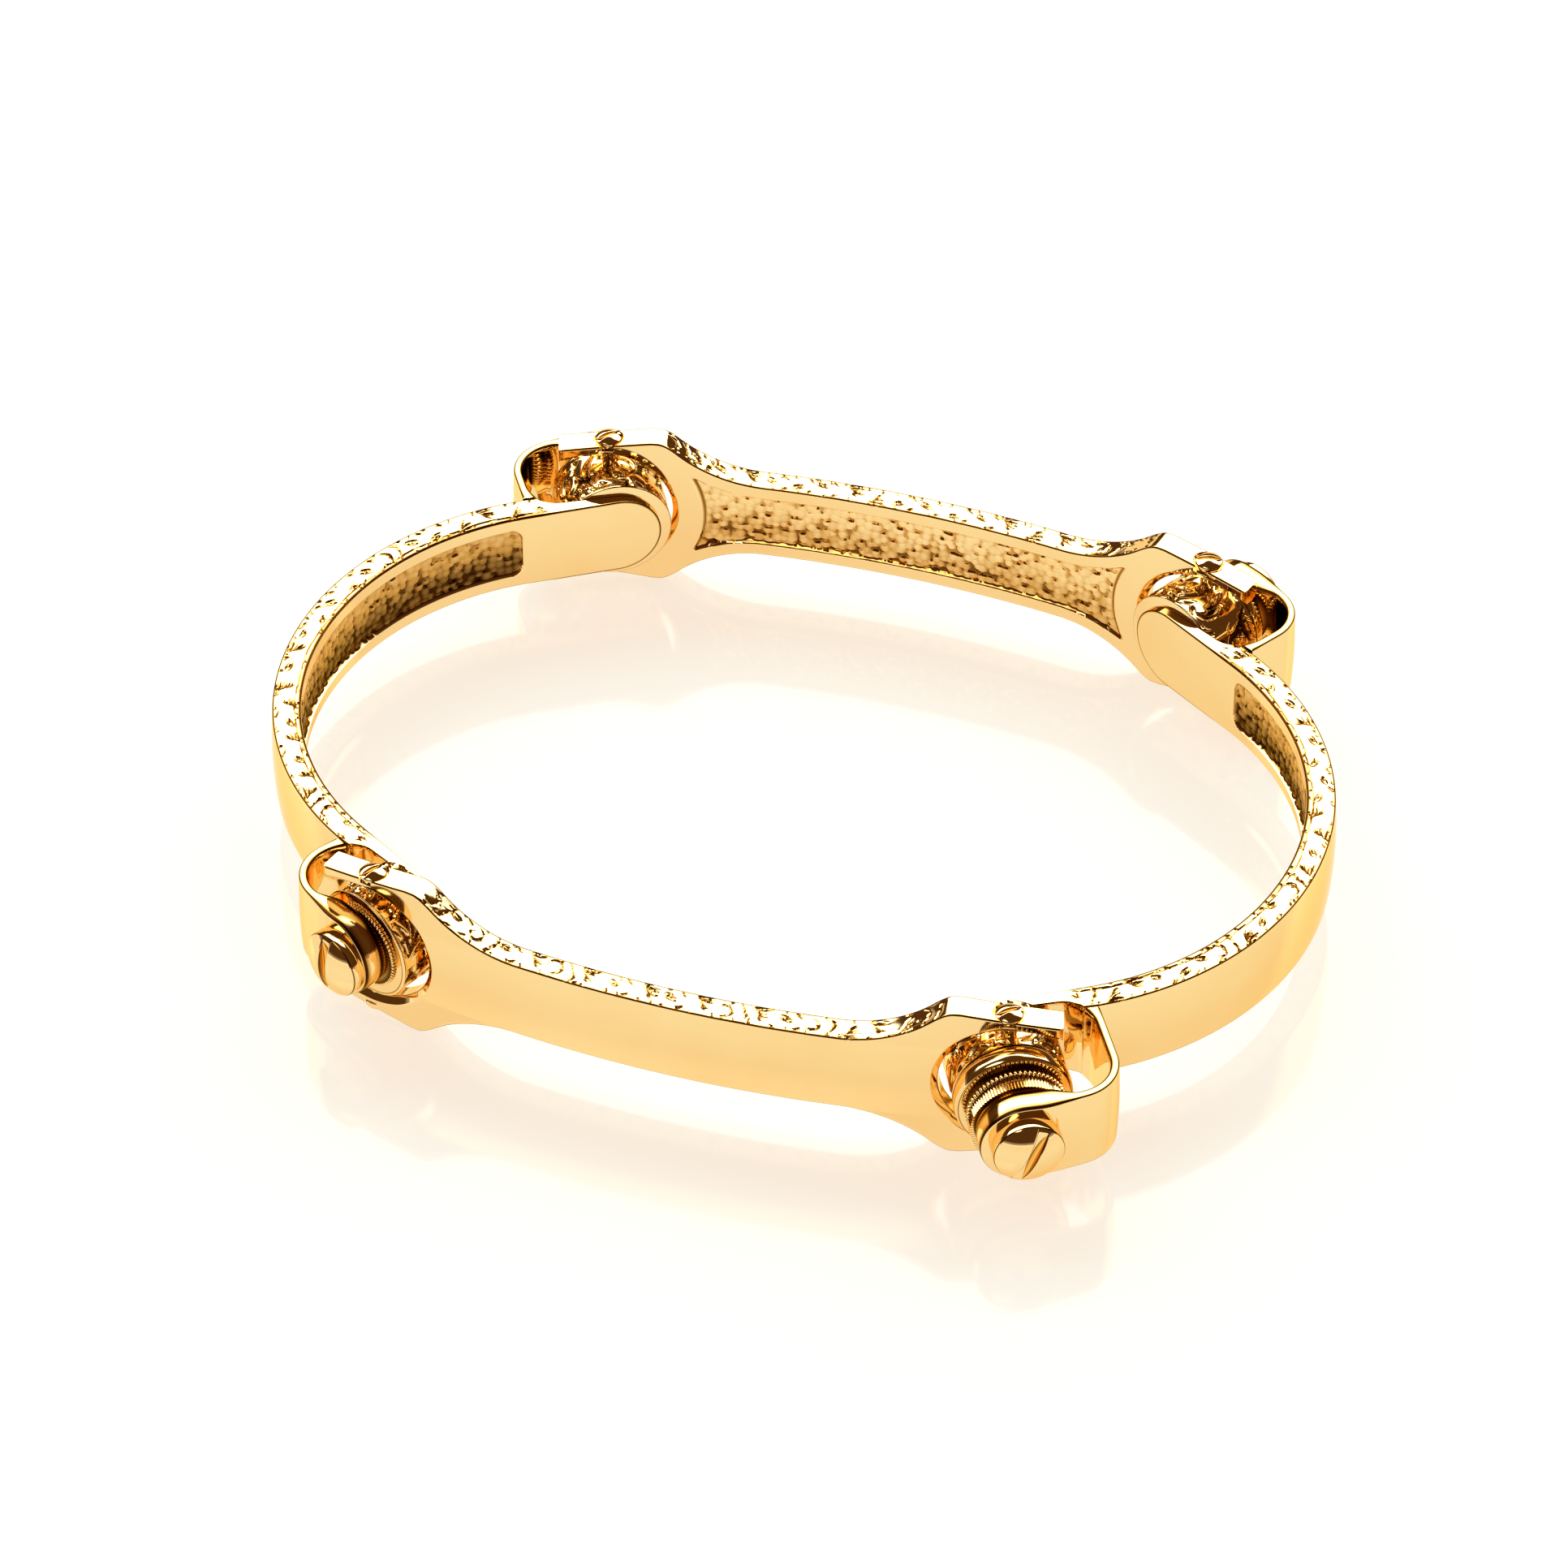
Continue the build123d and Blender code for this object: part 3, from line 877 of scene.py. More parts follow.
    def ring_outside(self, depth: float) -> Array:
        """The right jaw block's outer boundary: upper arm, column line, lower arm, shape (n, 2)."""
        s, z, _ = self.outline(depth)
        start = int(np.argmin(np.abs(s - self.along_bar(self.column_x))))
        upper = np.stack([s[start:], z[start:]], -1)[::-1]
        rows = np.stack([np.full(self.rows - 2, s[start]), z[start] * self.row_shares()[1:-1]], -1)
        return np.vstack([upper, rows, upper[::-1] * (1, -1)])

    def jaw_line(self, depth: float) -> Array:
        """The right jaw's samples at one depth, matched to ring_outside, shape (n, 2)."""
        outer = self.ring_outside(0.0)
        angle = np.arctan2(outer[:, 1], outer[:, 0] - self.pivot_s)
        edge, tip = self.jaw_edge(depth), self.arm_reach - self.tip_inset(depth)
        ahead = np.abs(angle) < math.pi / 2
        share = (math.pi / 2 - np.abs(angle)) / (math.pi / 2 - abs(angle[0]))
        reach = np.where(ahead, tip * share, edge * np.cos(angle))
        mouth = self.jaw_mouth_radius + edge - self.jaw_radius
        half = np.sqrt(mouth**2 - np.clip(reach, 0, None) ** 2) - mouth + edge
        rise = np.where(ahead, np.sign(angle) * half, edge * np.sin(angle))
        return np.stack([self.pivot_s + reach, rise], -1)

    def panel(self, s: Array, z: Array) -> tuple[Array, Array]:
        """The sunk panel on the wrist side.

        Args:
            s: Distance along the bar.
            z: Height above the middle.

        Returns:
            How deep the surface lies, and how dark it is painted as shade, 0 to 1.
        """
        inside = (self.half_height(s) - np.abs(z)) / np.sqrt(1 + self.slope(s, 0.1) ** 2) - self.sunk.border
        jaw = np.hypot(np.abs(s) - self.pivot_s, z) - self.panel_gap
        floor = smooth_step(inside, 0.0, self.panel_wall) * smooth_step(jaw, 0.0, self.panel_end_wall)
        return self.sunk.surface(self.seed, s, z, floor)

    def edge_cut(self, s: Array, run: Array, edge: int) -> Array:
        """The engraving of one long edge.

        Args:
            s: Distance along the bar.
            run: Length run so far along the edge.
            edge: The edge's number.

        Returns:
            Depth of the cuts, shape (len(s), depths).
        """
        strokes = Chaser(self.seed + 17 * edge).scrolls(float(run[-1]), self.thick)
        across = self.depths[None, :]
        deep = Chaser.carve(strokes, run, across) + uneven(run, across, self.seed + edge)
        return deep * smooth_step(self.along_bar(self.shoulder_x) - np.abs(s), 0.0, 0.25)[:, None]

    def add_edges(self, skin: Skin) -> None:
        """Adds the long edges, the arm tips and the jaws."""
        levels = [self.outline(depth) for depth in self.depths]
        s = np.stack([level[0] for level in levels], 1)
        z = np.stack([level[1] for level in levels], 1)
        run = levels[len(levels) // 2][2]
        near = np.minimum(self.depths, self.thick - self.depths)
        fade = smooth_step(near, 0.0, self.edge)[None, :]
        for edge, sign in enumerate((1, -1)):
            deep = self.edge_cut(s[:, 0], run, edge) * fade
            points = self.place(s, sign * (z - deep), self.depths[None, :])
            # Engraved cuts darken as patina by their depth; each rounded edge also gets its painted dark line
            # of shade.
            skin.grid(points, np.maximum(np.clip(deep / CUT_DEPTH, 0, 1), edge_line(near, self.edge)))
        shares = eased(self.spokes)
        # painted shade: a dark line along the jaw's bevel
        bevel_line = self.bevel_line * np.exp(-((near - self.jaw_bevel) / self.bevel_line_width) ** 2)
        rings = [(self.ring_outside(depth), self.jaw_line(depth)) for depth in self.depths]
        for end in (-1, 1):
            jaw = np.stack([inner for _, inner in rings], 1)
            skin.grid(self.place(end * jaw[..., 0], jaw[..., 1], self.depths[None, :]), bevel_line[None, :])
            for which in (0, -1):
                tips = np.stack([inner[which] + (outer[which] - inner[which]) * shares[:, None]
                                 for outer, inner in rings], 1)
                skin.grid(self.place(end * tips[..., 0], tips[..., 1], self.depths[None, :]))

    def add_faces(self, skin: Skin) -> None:
        """Adds the outer face and the wrist side with its panel."""
        shares = eased(self.spokes)
        for depth in (0.0, self.thick):
            s, z, _ = self.outline(depth)
            keep = np.abs(s) <= self.along_bar(self.column_x) + 1e-9
            columns = np.broadcast_to(s[keep][:, None], (int(keep.sum()), self.rows))
            heights = z[keep][:, None] * self.row_shares()[None, :]
            cut = None
            level = np.full(columns.shape, depth)
            if depth > 0:
                # the panel's painted shade goes out through its cut values
                deep, cut = self.panel(columns, heights)
                level = level - deep
            skin.grid(self.place(columns, heights, level), cut)
            outer, inner = self.ring_outside(depth), self.jaw_line(depth)
            block = inner[:, None] + (outer - inner)[:, None] * shares[None, :, None]
            for end in (-1, 1):
                skin.grid(self.place(end * block[..., 0], block[..., 1], np.full(block.shape[:2], depth)))


# ------------------------------------------------------------------ the bands and their shackles


@dataclass(frozen=True)
class Shackle:
    """Sizes shared by a band's tongue and the strap opposite it, in a corner's own frame."""

    root: float = 5.96
    strap: float = 0.56
    strap_corner: float = -6.3
    foot: tuple[float, float, float] = (-5.05, -5.47, -1.35)
    foot_end: float = -3.65
    tongue_face: float = -3.0
    tongue_tip: float = -3.45
    boss_start: float = -1.3
    thickening: tuple[float, float] = (-3.12, -1.69)
    bore: float = 1.16


@dataclass
class Band(Link):
    """An arched band whose two ends thin to round tongues."""

    hand: int
    seed: int
    shackle: Shackle = Shackle()
    centre_x: float = 13.45
    outer_radius: float = 20.2
    thick: float = 1.95
    outer_edge: float = 0.12
    inner_edge: float = 0.2
    crown: float = 0.14
    sunk: SunkPanel = SunkPanel(pebble=0.54, shade=0.62, shade_fall=0.16, gap_shade=0.26, wall_shade=3.0)
    panel_y: float = 15.2
    panel_wall: float = 0.22
    border_line: float = 0.42
    border_cut: float = 0.09
    border_width: float = 0.075
    border_wander: float = 0.05
    step: float = 0.1
    slice_count: int = 24
    outer_rows: int = 17
    inner_rows: int = 52

    def __post_init__(self) -> None:
        """Works out the sizes that follow from the others and from the frame."""
        low, high = node_span("left_band")
        self.mid_z = (low[2] + high[2]) / 2
        self.half = (high[2] - low[2]) / 2
        self.inner_radius = self.outer_radius - self.thick
        self.corners = [CornerFrame(Corner((self.hand, end))) for end in (1, -1)]
        self.centre = np.array((self.hand * self.centre_x, 0.0))
        self.root_level = self.find_root_level()
        edge = EDGE_SHARES * self.outer_edge
        inner = self.thick - WRIST_SHARES * self.inner_edge
        middle = np.linspace(self.outer_edge, self.thick - self.inner_edge, self.slice_count)
        self.depths = np.unique(np.concatenate([edge, middle, inner]))

    def find_root_level(self) -> float:
        """Where the outer arc lies, along the screw's axis, at the strap's root."""
        corner = self.corners[0]
        to_centre = self.centre - corner.pivot[:2]
        offset = -self.shackle.root - to_centre @ corner.along[:2]
        return float(to_centre @ corner.out[:2] + math.sqrt(self.outer_radius**2 - offset**2))

    def inset(self, depth: float) -> float:
        """How far the long edges stand back at one depth."""
        return edge_inset(depth, self.thick, self.outer_edge, self.inner_edge)

    def tongue_outer(self, u: Array) -> Array:
        """Level of the tongue's barrel side, from the strap's root to the tip."""
        shackle = self.shackle
        drop = self.root_level - shackle.tongue_face
        hollow = ((shackle.foot_end - shackle.foot[0]) ** 2 + drop**2) / (2 * drop)
        reach = np.clip(shackle.foot_end - u, 0, shackle.foot_end - shackle.foot[0])
        return shackle.tongue_face + hollow - np.sqrt(hollow**2 - reach**2)

    def on_arc(self, radius: float, angle: Array) -> Array:
        """Plan points on an arc about the band's centre, by their angle from its middle."""
        return self.centre + radius * np.stack([self.hand * np.cos(angle), np.sin(angle)], -1)

    def stations(self, inset: float) -> tuple[Array, Array, Array]:
        """The plan of the band at one inset.

        Args:
            inset: How far the edge stands back.

        Returns:
            Outer plan points (n, 2), wrist-side plan points (n, 2) and half heights (n,).
        """
        shackle, corner = self.shackle, self.corners[0]
        tip = corner.place(np.array(self.half), np.array(shackle.tongue_tip), np.array(0.0))[:2]
        away = (tip - self.centre) * (self.hand, 1)
        touch = math.atan2(away[1], away[0]) - math.acos(self.inner_radius / math.hypot(*away))
        touch_point = self.on_arc(self.inner_radius, touch)
        touch_u = float((touch_point - corner.pivot[:2]) @ corner.along[:2])
        touch_n = float((touch_point - corner.pivot[:2]) @ corner.out[:2])
        root = corner.place(np.array(-shackle.root), np.array(self.root_level), np.array(0.0))[:2]
        root = root - self.centre
        root_angle = math.atan2(root[1], abs(root[0]))
        shares = np.linspace(-1, 1, int(2 * touch * self.outer_radius / self.step) + 1)
        arc_outer = self.on_arc(self.outer_radius, shares * root_angle)
        arc_inner = self.on_arc(self.inner_radius, shares * touch)
        leaf = np.concatenate([
            np.linspace(-shackle.root, shackle.foot[0], 8)[1:],
            np.linspace(shackle.foot[0], shackle.foot_end, 12)[1:],
            np.linspace(shackle.foot_end, 0, 34)[1:],
        ])
        turn = np.linspace(0, math.pi / 2, 30)[1:]
        u = np.concatenate([leaf, (self.half - inset) * np.sin(turn)])
        heights = np.concatenate([np.full(len(leaf), self.half - inset), (self.half - inset) * np.cos(turn)])
        inner_u = np.where(u < 0, u + (touch_u + shackle.root) * (-u / shackle.root), u)
        slope = (shackle.tongue_tip - touch_n) / (self.half - touch_u)
        inner_n = touch_n + slope * (inner_u - touch_u)
        ends = []
        for end in self.corners:
            outer = end.place(u, self.tongue_outer(u), 0.0)[:, :2]
            ends.append((outer, end.place(inner_u, inner_n, 0.0)[:, :2]))
        outer = np.vstack([ends[1][0][::-1], arc_outer, ends[0][0]])
        inner = np.vstack([ends[1][1][::-1], arc_inner, ends[0][1]])
        body = np.full(len(shares), self.half - inset)
        return outer, inner, np.concatenate([heights[::-1], body, heights])

    def crowned(self, outer: Array, inner: Array) -> tuple[Array, Array]:
        """The outward direction at each station, and how much the face is crowned there."""
        gap = outer - inner
        width = np.linalg.norm(gap, axis=1)
        return gap / width[:, None], self.crown * smooth_step(width, 1.3, 1.8)

    def panel(self, run: Array, z: Array, reach: float) -> tuple[Array, Array]:
        """The sunk panel on the wrist side.

        Args:
            run: Distance along the wrist side from its middle.
            z: Height above the middle.
            reach: Half length of the panel.

        Returns:
            How deep the surface lies, and how dark it is painted as shade, 0 to 1.
        """
        tall = self.half - self.sunk.border
        half_tall = tall / 2
        past_u, past_z = np.abs(run) - reach + half_tall, np.abs(z) - half_tall
        corner = np.hypot(np.clip(past_u, 0, None), np.clip(past_z, 0, None))
        edge = np.maximum(np.abs(run) - reach, np.abs(z) - tall)
        round_corner = (np.abs(run) > reach - half_tall) & (np.abs(z) > half_tall)
        within = np.where(round_corner, half_tall - corner, -edge)
        return self.sunk.surface(self.seed, run, z, smooth_step(within, 0.0, self.panel_wall))

    def add_edges(self, skin: Skin) -> None:
        """Adds the two chased long edges, which run out onto the tongues."""
        levels = [self.stations(self.inset(depth)) for depth in self.depths]
        plans = []
        for depth, (outer, inner, _) in zip(self.depths, levels):
            away, crown = self.crowned(outer, inner)
            rim = outer - away * crown[:, None]
            plans.append(rim + (inner - rim) * depth / self.thick)
        plan = np.stack(plans, 1)
        z = np.stack([heights for _, _, heights in levels], 1)
        outer, inner, _ = levels[len(levels) // 2]
        width = np.linalg.norm(outer - inner, axis=1)
        run = run_along((outer + inner) / 2)
        near = np.minimum(self.depths / self.outer_edge, (self.thick - self.depths) / self.inner_edge)
        fade = smooth_step(near, 0.2, 1.0)[None, :] * smooth_step(width, 1.05, 1.6)[:, None]
        for edge, sign in enumerate((1, -1)):
            strokes = Chaser(self.seed + 31 * edge).scrolls(float(run[-1]), self.thick)
            across = self.depths[None, :] * np.clip(width / self.thick, 0.5, 1)[:, None]
            deep = Chaser.carve(strokes, run, across)
            wander = self.thick - self.border_line + self.border_wander * np.sin(run[:, None] * 1.1 + edge)
            border = np.clip(1 - np.abs(self.depths - wander) / self.border_width, 0, 1)
            deep = np.maximum(deep, self.border_cut * border)
            deep = (deep + uneven(run, across, self.seed + edge)) * fade
            points = np.concatenate([plan, (self.mid_z + sign * (z - deep))[..., None]], -1)
            # Engraved cuts and the border line darken as patina by their depth; both rounded edges also get
            # painted dark lines of shade.
            line = edge_lines(self.depths, self.thick, self.outer_edge, self.inner_edge)
            skin.grid(points, np.maximum(np.clip(deep / CUT_DEPTH, 0, 1), line))

    def add_faces(self, skin: Skin) -> None:
        """Adds the crowned outer face and the wrist side with its panel."""
        outer, inner, heights = self.stations(self.inset(0.0))
        away, crown = self.crowned(outer, inner)
        shares = np.linspace(1, -1, self.outer_rows)
        plan = (outer - away * crown[:, None])[:, None] + (
            away[:, None] * (crown[:, None] * (1 - shares**2))[..., None])
        z = self.mid_z + heights[:, None] * shares
        skin.grid(np.concatenate([plan, z[..., None]], -1))
        outer, inner, heights = self.stations(self.inset(self.thick))
        away, _ = self.crowned(outer, inner)
        shares = np.linspace(1, -1, self.inner_rows)
        run = run_along(inner)
        run = (run - run[-1] / 2)[:, None] + 0 * shares
        z = heights[:, None] * shares
        reach = self.inner_radius * math.asin(self.panel_y / self.inner_radius)
        # the panel's painted shade goes out through its cut values
        deep, cut = self.panel(run, z, reach)
        plan = inner[:, None] + away[:, None] * deep[..., None]
        skin.grid(np.concatenate([plan, (self.mid_z + z)[..., None]], -1), cut)


@dataclass
class Loop:
    """The outer leaf of a shackle: a strap that turns round the fork and ends in a bored boss."""

    corner: CornerFrame
    root_level: float
    half: float
    shackle: Shackle = Shackle()
    ring_u: float = -1.75
    outer_edge: float = 0.1
    inner_edge: float = 0.16
    crown: float = 0.1
    outer_bends: tuple[float, ...] = (3.0, 5.0)
    inner_bends: tuple[float, ...] = (2.0, 2.44, 1.2, 1.2)
    bore_chamfer: float = 0.08
    strap_columns: int = 92
    rows: int = 25
    spokes: int = 9

    def __post_init__(self) -> None:
        """Lays out the strap's two plan lines."""
        shackle, levels = self.shackle, self.corner.levels
        corner_u, corner_n = shackle.strap_corner, levels.strap_corner
        boss_outer, boss_inner = levels.boss_outer, levels.boss_inner
        rise = (boss_outer - corner_n) / (shackle.boss_start - corner_u)
        inner_n = corner_n - shackle.strap * math.sqrt(1 + rise**2)
        thicker, thickest = shackle.thickening
        self.outer_line = filleted_path(
            [(-shackle.root, self.root_level), (corner_u, corner_n), (shackle.boss_start, boss_outer),
             (self.half, boss_outer)], self.outer_bends, 0.05)
        self.inner_line = filleted_path(
            [(shackle.foot[0], self.root_level), shackle.foot[1:],
             (corner_u + shackle.strap, inner_n + rise * shackle.strap),
             (thicker, inner_n + rise * (thicker - corner_u)),
             (thickest, boss_inner), (self.half, boss_inner)], self.inner_bends, 0.05)
        share = np.array((0.0, 0.2, 0.6, 1.0))
        outer, inner = self.outer_edge / shackle.strap, self.inner_edge / shackle.strap
        self.levels = np.unique(np.concatenate([outer * share, 1 - inner * share, [0.45]]))
        depth = self.levels * shackle.strap
        # painted dark lines of shade along the rounded edges, used on the strap and on the boss
        self.line = edge_lines(depth, shackle.strap, self.outer_edge, self.inner_edge)[None, :]

    def inset(self, level: float) -> float:
        """How far the edges stand back at a share of the thickness."""
        strap = self.shackle.strap
        return edge_inset(level * strap, strap, self.outer_edge, self.inner_edge)

    def split(self, line: Array) -> tuple[Array, Array]:
        """A plan line's part before the boss block, and its level over the boss block."""
        cut = int(np.argmax((line[:, 0] >= self.ring_u) & (np.arange(len(line)) > len(line) // 3)))
        before, after = line[cut - 1], line[cut]
        share = (self.ring_u - before[0]) / (after[0] - before[0])
        meeting = before + (after - before) * share
        return np.vstack([line[:cut], meeting]), np.vstack([meeting, line[cut:]])

    def point(self, outer: Array, inner: Array, level: Array, z: Array) -> Array:
        """A point between the two plan lines, in row coordinates."""
        mixed = outer + (inner - outer) * np.asarray(level)[..., None]
        return self.corner.place(mixed[..., 0], mixed[..., 1], z)

    def build(self, name: str) -> bpy.types.Object:
        """Makes the strap and its boss.

        Args:
            name: The piece's name.

        Returns:
            The loop's object.
        """
        skin = Skin(name)
        outer_strap, outer_boss = self.split(self.outer_line)
        inner_strap, inner_boss = self.split(self.inner_line)
        count = self.strap_columns
        shares = np.linspace(0, 1, count)
        outer, inner = along_path(outer_strap, shares), along_path(inner_strap, shares)
        rows = np.linspace(1, -1, self.rows)
        insets = np.array([self.inset(level) for level in self.levels])
        for sign in (1, -1):
            z = np.broadcast_to(sign * (self.half - insets), (count, len(self.levels)))
            levels = np.broadcast_to(self.levels, z.shape)
            skin.grid(self.point(outer[:, None], inner[:, None], levels, z), self.line)
        for level, inset in ((0.0, insets[0]), (1.0, insets[-1])):
            z = np.broadcast_to(rows * (self.half - inset), (count, self.rows))
            bulge = -self.crown / self.shackle.strap * (1 - rows**2) * (level == 0)
            mix = np.broadcast_to(level + bulge, z.shape) * np.linspace(1, 0, count)[:, None] ** 0.25
            mix = np.where(level == 0, mix, 1.0)
            skin.grid(self.point(outer[:, None], inner[:, None], mix, z))
        z = rows[:, None] * (self.half - insets)[None, :]
        bulge = -self.crown / self.shackle.strap * (1 - rows[:, None] ** 2) * (self.levels == 0)[None, :]
        skin.grid(self.point(outer[0], inner[0], self.levels[None, :] + bulge, z))
        self.add_boss(skin, outer_boss, inner_boss, insets, rows)
        return skin.build()

    def boss_ring(self, inset: float, rows: Array) -> Array:
        """The boss block's outer boundary at one inset, shape (n, 2)."""
        tall, centre = self.half - inset, -self.corner.levels.nose_short
        top = np.stack([np.linspace(self.ring_u, centre, 14), np.full(14, tall)], -1)
        turn = np.linspace(math.pi / 2, -math.pi / 2, 49)[1:-1]
        nose = tall * np.stack([np.cos(turn), np.sin(turn)], -1) + (centre, 0)
        back = np.stack([np.full(self.rows - 2, self.ring_u), tall * rows[::-1][1:-1]], -1)
        return np.vstack([top, nose, top[::-1] * (1, -1), back])

    def add_boss(self, skin: Skin, outer: Array, inner: Array, insets: Array, rows: Array) -> None:
        """Adds the boss: its two faces, its round edge and its bore."""

        def on_boss(flat: Array, level: float) -> Array:
            """Row coordinates of boss points at a share of its thickness."""
            near = np.interp(flat[..., 0], outer[:, 0], outer[:, 1])
            far = np.interp(flat[..., 0], inner[:, 0], inner[:, 1])
            return self.corner.place(flat[..., 0], near + (far - near) * level, flat[..., 1])

        rings = [self.boss_ring(inset, rows) for inset in insets]
        angle = np.arctan2(rings[0][:, 1], rings[0][:, 0])
        circle = np.stack([np.cos(angle), np.sin(angle)], -1)
        chamfer = self.bore_chamfer * np.maximum(1 - 6 * np.minimum(self.levels, 1 - self.levels), 0)
        holes = [(self.shackle.bore + extra) * circle for extra in chamfer]
        keep = len(circle) - (self.rows - 2)
        edges = [on_boss(ring, level) for ring, level in zip(rings, self.levels)]
        bores = [on_boss(hole, level) for hole, level in zip(holes, self.levels)]
        skin.grid(np.stack(edges, 1)[:keep], self.line)
        skin.grid(np.stack(bores, 1), wrap=(True, False))
        spokes = eased(self.spokes)[None, :, None]
        for end, level in ((0, 0.0), (-1, 1.0)):
            block = holes[end][:, None] + (rings[end] - holes[end])[:, None] * spokes
            skin.grid(on_boss(block, level), wrap=(True, False))


# ------------------------------------------------------------------ round fittings


@dataclass
class Fitting:
    """A turned piece on a corner's screw axis."""

    corner: CornerFrame

    def turned(self, skin: Skin, out: Array, radius: Array, cut: Array) -> None:
        """Adds a surface of revolution.

        Args:
            skin: Where it goes.
            out: Place along the axis, shape (turns, profile).
            radius: Distance from the axis, same shape.
            cut: How dark it is painted, same shape: patina in real cuts, and painted shade in grooves and at
                edges.
        """
        angle = np.linspace(0, 2 * math.pi, out.shape[0], endpoint=False)[:, None]
        points = self.corner.place(radius * np.cos(angle), out, radius * np.sin(angle))
        skin.grid(points, cut, wrap=(True, True))


@dataclass
class Barrel(Fitting):
    """The chased barrel in the fork's jaw, with a plain rim towards the collar."""

    seed: int
    face: float = -3.0
    radius: float = 3.55
    bore: float = 1.16
    motif_sizes: tuple[float, float] = (2.0, 1.15)
    relief: float = 0.16
    lump_pitch: float = 1.6
    lump_depth: float = 0.05
    ground_depth: float = 0.1
    full_dark: float = 0.2
    rim_shares: tuple[float, ...] = (0.0, 0.06, 0.18, 0.4, 0.65, 0.85, 0.96, 1.0)
    rim_bulge: tuple[float, ...] = (-0.12, -0.02, 0.045, 0.07, 0.06, 0.02, -0.05, -0.12)
    turns: int = 240
    rows: int = 42

    def relief_depth(self, along: Array, across: Array) -> Array:
        """Depth of the barrel's relief.

        Args:
            along: Distance round the barrel.
            across: Distance along it from its wrist-side face.

        Returns:
            The depth, shape (along, across).
        """
        chaser, girth, width = Chaser(self.seed), 2 * math.pi * self.radius, float(across[-1])
        cuts = [stroke for size in self.motif_sizes for stroke in chaser.scrolls(girth * 0.98, width, size)]
        deep = np.minimum(Chaser.carve(cuts, along, across[None, :]), self.relief)
        spots = np.broadcast_arrays(along[:, None], across[None, :])
        gaps = 1 - Pebbles(self.seed + 5, self.lump_pitch).rise(*spots)
        deep = deep + self.lump_depth * gaps + self.ground_depth * smooth_step(gaps, 0.5, 0.68)
        fade = smooth_step(np.minimum(across, width - across), 0.0, 0.22)[None, :]
        seam = smooth_step(np.minimum(along, girth - along), 0.0, 0.3)[:, None]
        return deep * fade * (0.3 + 0.7 * seam)

    def build(self, name: str) -> bpy.types.Object:
        """Makes the barrel.

        Args:
            name: The piece's name.

        Returns:
            The barrel's object.
        """
        rim_start, rim_end = self.corner.levels.rim_start, self.corner.levels.rim_end
        rows = np.linspace(self.face + 0.06, rim_start - 0.05, self.rows)
        along = np.linspace(0, 2 * math.pi * self.radius, self.turns, endpoint=False)
        rim = rim_start + (rim_end - rim_start) * np.array(self.rim_shares)
        bulge = self.radius + np.array(self.rim_bulge)
        before_out = np.array((self.face, self.face, self.face + 0.02))
        before_radius = np.array((self.bore, self.radius - 0.08, self.radius - 0.03))
        out = np.concatenate([before_out, rows, rim, [rim_end, rim_end]])
        radius = np.concatenate([before_radius, np.full(self.rows, self.radius), bulge,
                                 [self.radius - 0.2, self.bore]])
        shape = (self.turns, len(out))
        depth = np.zeros(shape)
        first, last = len(before_out), len(before_out) + self.rows
        depth[:, first:last] = self.relief_depth(along, rows - rows[0])
        cut = np.clip(depth / self.full_dark, 0, 1)
        # painted shade: dark rings at the edge of the face and at the rim's two edges
        cut[:, [first - 1, last, last + 1, -3]] = 0.9
        skin = Skin(name)
        self.turned(skin, np.broadcast_to(out, shape), radius - depth, cut)
        return skin.build()


@dataclass
class Collar(Fitting):
    """The collar between rim and boss: a row of beads in a groove painted dark as shade, and a milled ring if
    it is wide, with its notches painted dark as shade.
    """

    radius: float = 3.1
    narrow: float = 0.5
    wide: float = 1.2
    narrow_radius: float = 2.85
    narrow_shade: float = 0.5
    bore: float = 1.16
    beads: int = 64
    per_bead: int = 6
    proud: float = 0.22
    milling: float = 0.07

    def zones(self, wide: float) -> tuple[float, float, float]:
        """Start and end of the row of beads, and start of the milled ring, from the rim."""
        if wide < self.narrow:
            return 0.0, wide, wide
        if wide < self.wide:
            return 0.1, wide - 0.1, wide
        return 0.3, 0.82, 1.05

    def build(self, name: str) -> bpy.types.Object:
        """Makes the collar.

        Args:
            name: The piece's name.

        Returns:
            The collar's object.
        """
        face, end = self.corner.levels.rim_end, self.corner.levels.boss_inner
        bead_start, bead_end, ring_start = self.zones(end - face)
        across = spaced(np.concatenate([
            [0.0, end - face], np.linspace(bead_start, bead_end, 9), np.linspace(ring_start, end - face, 8)]))
        turns = self.beads * self.per_bead
        turn = np.arange(turns)[:, None] / turns
        bead = np.clip((across - bead_start) / (bead_end - bead_start), 0, 1)
        round_trip = np.abs(np.sin(math.pi * self.beads * turn)) ** 0.7
        lift = np.sin(math.pi * bead)[None, :] ** 0.6 * round_trip
        ring = smooth_step(across, ring_start - 0.01, ring_start + 0.06)
        notch = (0.5 + 0.5 * np.sin(2 * math.pi * 1.5 * self.beads * turn)) * ring
        drop = np.where(ring > 0, self.proud * (1 - ring) + self.milling * notch, self.proud * (1 - lift))
        # painted shade: the gaps between beads are dark, less so in a narrow collar, and so are the step into
        # the milled ring and its notches
        narrow = end - face <= self.narrow
        groove = self.narrow_shade if narrow else 1.0
        cut = np.where(ring > 0, np.maximum(1 - ring, 0.75 * notch), groove * (1 - lift))
        shape = (turns, len(across) + 2)
        radius = np.full(shape, self.bore)
        radius[:, 1:-1] = (self.narrow_radius if narrow else self.radius) - drop
        cuts = np.zeros(shape)
        cuts[:, 1:-1] = cut
        skin = Skin(name)
        out = face + np.concatenate([[0.0], across, across[-1:]])
        self.turned(skin, np.broadcast_to(out, shape), radius, cuts)
        return skin.build()


